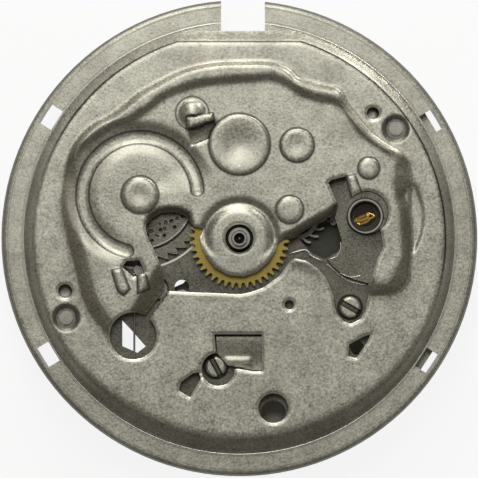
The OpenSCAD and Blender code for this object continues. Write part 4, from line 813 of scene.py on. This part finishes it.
def brush_group():
    """Brushed lines: noise squeezed across one direction, as a shade round 1 and a height."""
    w, (place, scale, turn, contrast), out = new_group(
        "Brushed lines", {"Vector": None, "Scale": 9000.0, "Turn": 0.0, "Contrast": 0.15}, ("Shade", "Height"))
    spun = w.put("VectorRotate", {"Vector": place, "Angle": turn}, rotation_type="Z_AXIS")
    thin = w.put("VectorMath", {0: spun.outputs[0], 1: (1, 0.03, 1)}, operation="MULTIPLY")
    noise = w.put("TexNoise", {"Vector": thin.outputs[0], "Scale": scale, "Detail": 3.0}).outputs[0]
    w.feed(out[0], w.math("MULTIPLY_ADD", w.times(w.math("SUBTRACT", noise, 0.5), contrast), 2.0, 1.0))
    w.feed(out[1], noise)
    return w.tree


GROUPS, MATERIALS = {}, {}


def blank(name, colour):
    """New material with its colour for the solid view: the material, its wires and its shader's inputs."""
    mat = bpy.data.materials.new(name)
    mat.use_nodes = True
    mat.diffuse_color = (*colour, 1)
    return mat, Wires(mat.node_tree), mat.node_tree.nodes["Principled BSDF"].inputs


def shaded(colour, factor):
    """The colour times a factor, at most white."""
    return tuple(min(1, c * factor) for c in colour)


def with_pits(w, place, colour, tone, height):
    """Round pits with a painted highlight on their lip over a disc about the barrel's axis: the tone and the
    height after them.
    """
    away = w.put("TexVoronoi", {"Vector": place, "Scale": 2700.0, "Randomness": 0.7}).outputs["Distance"]
    disc = w.circle(place, BARREL_P, 2.2, 0.95)
    pit = w.times(w.range(away, 0.26, 0.34, 1.0, 0.0), disc)
    lip = w.times(w.range(away, 0.36, 0.46, 0.35, 0.0), disc)
    # painted highlight on each pit's lip
    tone = w.mix(lip, tone, shaded(colour, 3.0))
    tone = w.mix(w.times(pit, 0.85), tone, shaded(colour, 0.15))
    return tone, w.math("SUBTRACT", height, w.times(pit, 2.0))


def metal(name, colour, metallic=0.8, roughness=0.42, grain=11000.0, contrast=0.4, bump=0.35, stain=0.25,
          stain_colour=(0.12, 0.10, 0.075), brushed=None, marks=(), lights=(), pressed=False, pitted=False):
    """Metal with blasted grain and cloudy stain, and where asked with lines brushed at an angle, pits, painted
    highlight and painted shade circles (centre, radius, width, strength), and on the pressed sheet painted
    brown shade on slopes, a bright colour on cut edges that is partly a real polished edge and partly a painted
    highlight, and painted shade in creases."""
    mat, w, shader = blank(name, colour)
    place = w.put("TexCoord").outputs["Object"]
    shade, noise, glint, speck = w.group("grain", place, grain, contrast)
    height = noise
    if brushed is not None:
        lines = w.group("brush", place, grain * 0.8, brushed, contrast)
        shade = w.times(shade, lines[0])
        height = w.math("ADD", w.times(height, 0.4), lines[1])
    tone = w.put("VectorMath", {0: colour, 3: shade}, operation="SCALE").outputs[0]
    tone = w.mix(w.times(glint, 0.5), tone, shaded(colour, 1.9))
    tone = w.mix(w.times(speck, 0.55), tone, shaded(colour, 0.3))
    if pitted:
        tone, height = with_pits(w, place, colour, tone, height)
    tone = w.mix(w.group("stain", place, 350.0, stain)[0], tone, stain_colour)
    if pressed:
        # painted brown shade on the sheet's slopes, bent edges, tongue and tab
        tone = w.mix(w.times(w.stored("film"), 0.75), tone, SLOPE_SHADE_BROWN)
        # bright colour on cut edges: partly a real polished shear edge, partly a painted highlight
        tone = w.mix(w.range(w.stored("cut"), 0.03, 0.1, 0.55, 0.0), tone, CUT_EDGE_HIGHLIGHT)
    # painted highlight rings and painted shade rings
    for rings, paint in ((lights, PAINTED_HIGHLIGHT), (marks, PAINTED_SHADE)):
        for *ring, strength in rings:
            tone = w.mix(w.math("MULTIPLY", w.circle(place, *ring), strength, clamp=True), tone, paint)
    # painted shade in creases: at the slope's top edge on the upper part, along the bead's step at the lower
    # right, in screw slots and round the stamped forms
    if pressed:
        rim = w.times(w.near("rim", 0.02, 0.08, 0.9), w.stored("upper"))
        step = w.times(w.near("step", 0.02, 0.08, 0.8), w.stored("fold"))
        crease_shade = w.math("MAXIMUM", w.math("MAXIMUM", rim, step), w.near("form", 0.03, 0.085, 0.7))
        tone = w.mix(crease_shade, tone, PAINTED_SHADE)
    w.feed(shader["Base Color"], tone)
    shader["Metallic"].default_value = metallic
    w.feed(shader["Roughness"], w.range(noise, 0.3, 0.7, roughness - 0.08, roughness + 0.08))
    bumped = w.put("Bump", {"Strength": bump, "Distance": 0.02 * MM, "Height": height})
    w.feed(shader["Normal"], bumped.outputs[0])
    return mat


def brass_metal(name, colour, **circles):
    """Brass with a fine even surface and a brown stain."""
    return metal(name, colour, metallic=0.75, roughness=0.4, contrast=0.14, bump=0.2, stain=0.12,
                 stain_colour=(0.2, 0.13, 0.04), **circles)


def stone(name, colour):
    """Polished synthetic ruby: clear red body with faint clouds."""
    mat, w, shader = blank(name, colour)
    cloud = w.group("stain", w.put("TexCoord").outputs["Object"], 1500.0, 0.6)[0]
    w.feed(shader["Base Color"], w.mix(cloud, colour, shaded(colour, 1.6)))
    for socket, value in (("Roughness", 0.08), ("IOR", 1.76), ("Coat Weight", 0.5)):
        shader[socket].default_value = value
    return mat


def build_materials(colours):
    """Makes the node groups and every finish; a circle is its centre, radius, width and strength."""
    GROUPS.update(grain=grain_group(), stain=stain_group(), line=line_group(), brush=brush_group())
    names = ("nickel", "dark_nickel", "steel", "brass", "gilt", "blued", "ruby")
    nickel, dark, steel, brass, gilt, blued, ruby = (tuple(getattr(colours, name)) for name in names)
    # painted shade rings round the rivet heads
    rivet_shade_rings = tuple((p, r, 0.18, 0.6) for p in RIVET_P for r in (0.52, 0.7))
    # painted pools of light on the main plate under the foot holes, set off towards the lower left
    foot_hole_light = tuple(((x - 0.07, y - 0.08), 0.0, r, 1.0) for x, y, r in FOOT_HOLES)
    MATERIALS.update(
        pressed=metal("Pressed nickel", nickel, contrast=1.25, grain=7500.0, marks=rivet_shade_rings, pressed=True),
        nickel=metal(
            "Satin nickel", nickel, contrast=1.0, grain=8000.0, lights=((CENTRE, 12.8, 0.06, 0.7),),
            marks=((CENTRE, 14.05, 0.16, 0.6), (CENTRE, 13.72, 0.05, 0.3), (CENTRE, 12.9, 0.05, 0.25))),
        ratchet=metal(
            "Pitted steel", (0.21, 0.2, 0.165), roughness=0.45, contrast=1.2, bump=0.9, stain=0.5,
            marks=((BARREL_P, 3.27, 0.07, 1.0), (BARREL_P, 1.6, 1.3, 0.25)),
            lights=((BARREL_P, 3.15, 0.05, 0.6),), pitted=True),
        train=brass_metal(
            "Turned brass", brass, lights=((CENTRE, 0.0, 0.1, 1.0),), marks=((CENTRE, 0.2, 0.26, 1.2),)),
        bridge=metal("Brushed nickel", nickel, brushed=0.6, stain=0.1, contrast=0.2),
        # darker nickel: partly a real duller finish, partly painted shade of the recessed main plate
        dull=metal(
            "Dull nickel", dark, roughness=0.5, stain=0.35, contrast=2.0, grain=8000.0,
            lights=((BARREL_P, 4.34, 0.07, 0.9), *foot_hole_light),
            marks=tuple((p, 0.7, 0.1, 0.9) for p, *_ in DIAL_SCREWS)),
        # the same darkened nickel, a fifth lighter, for the cock
        cock=metal(
            "Dull cock", shaded(dark, 1.2), roughness=0.5, stain=0.3, contrast=2.0, grain=8000.0,
            lights=((BALANCE_P, 0.97, 0.07, 0.3),),
            marks=((BALANCE_P, 1.06, 0.06, 0.8), (BALANCE_P, 0.86, 0.08, 0.9))),
        # nickel set near black: painted shade for the pallet bridge deep under the window
        deep=metal("Smoked nickel", (0.05, 0.053, 0.045), roughness=0.4, stain=0.3, contrast=1.0),
        rivet=metal(
            "Riveted steel", steel, roughness=0.4, contrast=0.8, stain=0.2,
            marks=tuple((p, 0.54, 0.17, 0.75) for p in RIVET_P)),
        steel=metal(
            "Polished steel", steel, metallic=0.85, roughness=0.33, contrast=0.1, bump=0.15,
            stain=0.12),
        brass=brass_metal("Matt brass", brass, marks=((CENTRE, 0.15, 0.3, 1.2),)),
        hour_brass=brass_metal("Shaded brass", brass, marks=((CENTRE, 0.74, 0.3, 1.1),)),
        gilt=metal("Gilt", gilt, metallic=0.8, roughness=0.3, contrast=0.08, bump=0.1, stain=0.05),
        blued=metal(
            "Blued steel", blued, metallic=0.9, roughness=0.25, contrast=0.15, bump=0.1, stain=0.1,
            stain_colour=(0.03, 0.02, 0.06)),
        # bright colour that paints the highlight on the edge tubes
        lip=metal("Bright edge", (0.62, 0.61, 0.56), metallic=0.7, roughness=0.35, contrast=0.3, stain=0.1),
        screw=metal("Turned screw", nickel, contrast=0.5, brushed=0.5, stain=0.15, pressed=True),
        # dark brown steel: painted shade for the setting down in the balance hole
        shade=metal(
            "Browned steel", (0.06, 0.05, 0.035), roughness=0.5, stain=0.5,
            stain_colour=(0.02, 0.015, 0.01)),
        # ruby darkened almost to black: painted shade for jewels down in holes
        garnet=stone("Shaded ruby", (0.035, 0.008, 0.006)),
        ruby=stone("Ruby", ruby))


FINISH_OF = {
    "nickel": "casing_ring front_plate dial_screws",
    "bridge": "barrel_bridge train_bridge balance_cock centre_bridge",
    "dull": "main_plate",
    "cock": "lower_balance_cock",
    "deep": "pallet_bridge",
    "shade": "lower_shock_setting",
    "ratchet": "ratchet_wheel",
    "train": "fourth_wheel",
    "garnet": "lower_cap_jewel pallet_stones",
    "hour_brass": "hour_wheel",
    "rivet": "rivets",
    "steel": "upper_shock_setting hour_pipe cannon_pinion intermediate_wheel setting_wheel "
             "ratchet_screw crown_wheel crown_wheel_core click click_spring winding_pinion "
             "sliding_pinion setting_lever yoke barrel_arbor escape_wheel pallet_lever balance_staff roller "
             "hairspring_stud regulator",
    "brass": "minute_wheel barrel_drum barrel_lid centre_wheel third_wheel balance_wheel",
    "gilt": "lower_shock_spring upper_shock_spring",
    "blued": "mainspring hairspring bridge_screws inner_bridge_screws",
    "ruby": "upper_cap_jewel impulse_jewel plate_jewels bridge_jewels",
}


# ---- Operators ----


class MOVEMENT_OT_finishes(bpy.types.Operator):
    """Gives every solid of the movement its metal or stone"""
    bl_idname = "movement.finishes"
    bl_label = "Finishes"

    def execute(self, context):
        build_materials(context.scene.movement_colours)
        left = set(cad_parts)
        for finish, names in FINISH_OF.items():
            for name in names.split():
                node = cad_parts[name]
                node.data.materials.clear()
                node.data.materials.append(MATERIALS[finish])
                left.discard(name)
        if left:
            raise RuntimeError(f"no finish for {sorted(left)}")
        return {"FINISHED"}


class MOVEMENT_OT_front_plate(bpy.types.Operator):
    """Presses the front plate's relief from one sheet"""
    bl_idname = "movement.front_plate"
    bl_label = "Front plate"

    def execute(self, context):
        sizes = context.scene.movement_sheet
        sheet = cut_sheet(lambda x, y: plate_relief(x, y, sizes), plate_metal, FRONT_FOOT_R + 0.2,
                          sizes.spacing / MM, SHEET_T)
        tongue = cut_sheet(tongue_relief, lambda x, y: within(x, y, TONGUE), INSERT_REACH, INSERT_GRID,
                           TONGUE_T)
        tab = cut_sheet(tab_relief, lambda x, y: within(x, y, LANCED_WINDOW) + 0.04, INSERT_REACH,
                        INSERT_GRID, TAB_T)
        bosses = [turned(boss_profile(radius, foot, sizes.boss / MM * height, edge, dish), centre, steps)
                  for centre, _, radius, foot, height, edge, dish, steps in BOSSES]
        parts = (sheet, tongue, tab, *bosses)
        verts, quads = joined(*parts)
        number = np.repeat(np.arange(len(parts)), [len(v) for v, _ in parts])
        x, y = verts[:, 0], verts[:, 1]
        film, cut = painted_slope_shade(x, y), to_cut(x, y)
        # part 1 is the tongue, with even painted shade, and part 2 the tab, with more painted brown shade on
        # its upper half
        film[number == 1] = 0.25
        film = np.where(number == 2, 0.3 + 0.6 * ease(across_tab(x, y), 0.42, 0.5), film)
        make_piece("front_plate_relief", (verts, quads), "pressed", "satin_nickel", ["front_plate"],
                   rim=rim_top(x, y), upper=upper_crease_shade(x, y), step=within(x, y, BEAD_LINE),
                   fold=lower_right(x, y), cut=np.where(cut < -0.02, 1, np.minimum(cut, 1)), film=film,
                   form=forms(x, y))
        return {"FINISHED"}


class MOVEMENT_OT_highlight_edges(bpy.types.Operator):
    """Draws the rounded edges of the plate and the cock inside the window as tubes in a painted highlight
    colour
    """
    bl_idname = "movement.edge_lips"
    bl_label = "Polished edges"

    def execute(self, context):
        lips = [tube_along(at_height(open_curve(points, 8), z), radius, 8) for points, z, radius in HIGHLIGHT_LIPS]
        make_piece("window_edge_lips", joined(*lips), "lip", "satin_nickel")
        return {"FINISHED"}


class MOVEMENT_OT_springs(bpy.types.Operator):
    """Winds the hairspring and bends the gilt wire of the dial side's shock bearing"""
    bl_idname = "movement.springs"
    bl_label = "Springs"

    def execute(self, context):
        hair = hair_coil(HAIR_COIL, HAIR_TURNS, HAIR_JOIN - 2 * math.pi * HAIR_TURNS)
        make_piece("hairspring_ribbon", hair, "blued", "blued_steel", ["hairspring"], "balance")
        outer = hair_coil(HAIR_OUTER, HAIR_OUTER_TURNS, HAIR_JOIN)
        make_piece("hairspring_outer_coil", outer, "blued", "blued_steel")
        wires = []
        for points, z, radius, closed in LYRE_WIRES:
            # a wire with loose ends leaves out the last span, which would close it
            path = curve_through(points, 6)[:None if closed else -6]
            rise = LYRE_TILT * (path[:, 0] - LYRE_LOW_X)
            wires.append(tube_along(at_height(path, z + rise), radius, closed=closed))
        make_piece("dial_shock_lyre", joined(*wires), "gilt", "gilt", ["lower_shock_spring"])
        return {"FINISHED"}


class MOVEMENT_OT_screws(bpy.types.Operator):
    """Turns the screws with rounded heads and open slots"""
    bl_idname = "movement.screws"
    bl_label = "Screws"

    def execute(self, context):
        dial = [screw_head(*screw, DIAL_SCREW_LOW, DIAL_SLOT) for screw in DIAL_SCREWS]
        verts, quads = joined(*dial)
        # masks of the pressed finish: painted shade in the slots, and no painted slope shade, crease shade or
        # cut edge highlight elsewhere
        slot, far = np.full(len(verts), -1.0), np.ones(len(verts))
        for (cx, cy), radius, _, turn in DIAL_SCREWS:
            dx, dy, a = verts[:, 0] - cx, verts[:, 1] - cy, math.radians(turn)
            inside = DIAL_SLOT[0] / 2 - np.abs(dy * math.cos(a) - dx * math.sin(a))
            slot = np.where(np.hypot(dx, dy) < radius + 0.1, inside, slot)
        make_piece("dial_screw_heads", (verts, quads), "screw", "satin_nickel", ["dial_screws"], sharp=35,
                   film=0 * far, form=far, rim=far, upper=0 * far, step=np.maximum(-slot, 0), fold=far, cut=far)
        back = [screw_head((r * math.cos(math.radians(a)), r * math.sin(math.radians(a))), BRIDGE_SCREW_R, top,
                           35 + 40 * k, BRIDGE_SCREW_LOW, BRIDGE_SLOT, -1.0)
                for k, (r, a, top) in enumerate(BRIDGE_SCREWS)]
        make_piece("bridge_screw_heads", joined(*back), "blued", "blued_steel", ["bridge_screws"], sharp=35)
        return {"FINISHED"}


class MOVEMENT_OT_ring_highlight(bpy.types.Operator):
    """Lays a thin tube in a painted highlight colour along the inner edge of the casing ring"""
    bl_idname = "movement.ring_bead"
    bl_label = "Ring lip"

    def execute(self, context):
        first, last = (math.acos(x / RING_HIGHLIGHT_R) for x in NOTCH_X)
        a = np.linspace(first + 0.003, last - 0.003 + 2 * np.pi, 241)[::-1]
        path = at_height(np.column_stack([RING_HIGHLIGHT_R * np.cos(a), RING_HIGHLIGHT_R * np.sin(a)]), RIM_Z)
        make_piece("ring_lip", tube_along(path, 0.05, 8), "lip", "satin_nickel")
        return {"FINISHED"}


class MOVEMENT_OT_stage(bpy.types.Operator):
    """Puts up the floor, the lamps and the camera above the dial side"""
    bl_idname = "movement.stage"
    bl_label = "Stage"

    def execute(self, context):
        levels = context.scene.movement_stage
        low = CAD_LOW.z - 0.02 * MM
        mesh = bpy.data.meshes.new("floor")
        ends = (-FLOOR_HALF, FLOOR_HALF)
        mesh.from_pydata([(x, y, low) for x in ends for y in ends], [], [(0, 2, 3, 1)])
        floor = add_object("floor", mesh)
        pale = (0.85, 0.85, 0.85)
        mat, w, shader = blank("Pale floor", pale)
        shader["Base Color"].default_value = (*pale, 1)
        shader["Roughness"].default_value = 0.8
        # the floor glows for rays from the camera, off a mirror or through a clear stone
        path = w.put("LightPath").outputs
        direct, glossy, through = (path[f"Is {kind} Ray"] for kind in ("Camera", "Glossy", "Transmission"))
        seen = w.math("MAXIMUM", w.math("MAXIMUM", direct, glossy), through)
        glow = w.put("Emission", {"Color": (1, 1, 1, 1), "Strength": 1.0})
        nodes = mat.node_tree.nodes
        blend = w.put("MixShader", {0: w.times(seen, 0.88), 1: nodes["Principled BSDF"].outputs[0],
                                    2: glow.outputs[0]})
        w.feed(nodes["Material Output"].inputs[0], blend.outputs[0])
        mesh.materials.append(mat)

        world = bpy.data.worlds.new("Surroundings")
        context.scene.world = world
        world.use_nodes = True
        world.node_tree.nodes["Background"].inputs[0].default_value = (*levels.sky, 1)

        centre = (CAD_LOW + CAD_HIGH) / 2
        for name, place, width, tint in LAMPS:
            lamp = bpy.data.lights.new(name, "AREA")
            lamp.shape, lamp.size, lamp.energy, lamp.color = "DISK", width, getattr(levels, name), tint
            obj = add_object(name, lamp)
            obj.location = place
            obj.rotation_euler = (centre - Vector(place)).to_track_quat("-Z", "Y").to_euler()

        camera = bpy.data.cameras.new("camera")
        camera.lens, camera.clip_start, camera.clip_end = levels.lens, 0.005, 2
        away = PHOTO_PX * MM_PER_PX * MM * levels.lens / camera.sensor_width
        obj = add_object("camera", camera)
        obj.location = (VIEW_CENTRE[0] * MM, VIEW_CENTRE[1] * MM, PLATE_TOP * MM + away)
        context.scene.camera = obj
        context.scene.view_settings.view_transform = "Standard"
        return {"FINISHED"}


SETTINGS = {"movement_sheet": SheetSizes, "movement_colours": FinishColours, "movement_stage": StageLevels}
OPERATORS = (MOVEMENT_OT_finishes, MOVEMENT_OT_front_plate, MOVEMENT_OT_ring_highlight, MOVEMENT_OT_highlight_edges,
             MOVEMENT_OT_springs, MOVEMENT_OT_screws, MOVEMENT_OT_stage)


class MOVEMENT_PT_panel(bpy.types.Panel):
    """Sizes, colours and steps of the movement"""
    bl_idname = "MOVEMENT_PT_panel"
    bl_label = "Watch movement"
    bl_space_type = "VIEW_3D"
    bl_region_type = "UI"
    bl_category = "Movement"

    def draw(self, context):
        for name, group in SETTINGS.items():
            box = self.layout.box()
            for entry in group.__annotations__:
                box.prop(getattr(context.scene, name), entry)
        for operator in OPERATORS:
            self.layout.operator(operator.bl_idname)


CLASSES = (*SETTINGS.values(), *OPERATORS, MOVEMENT_PT_panel)


def register():
    for cls in CLASSES:
        bpy.utils.register_class(cls)
    for name, group in SETTINGS.items():
        setattr(bpy.types.Scene, name, PointerProperty(type=group))


def unregister():
    for name in SETTINGS:
        delattr(bpy.types.Scene, name)
    for cls in reversed(CLASSES):
        bpy.utils.unregister_class(cls)


def main():
    register()
    for operator in OPERATORS:
        group, name = operator.bl_idname.split(".")
        getattr(getattr(bpy.ops, group), name)()


if __name__ == "__main__":
    main()
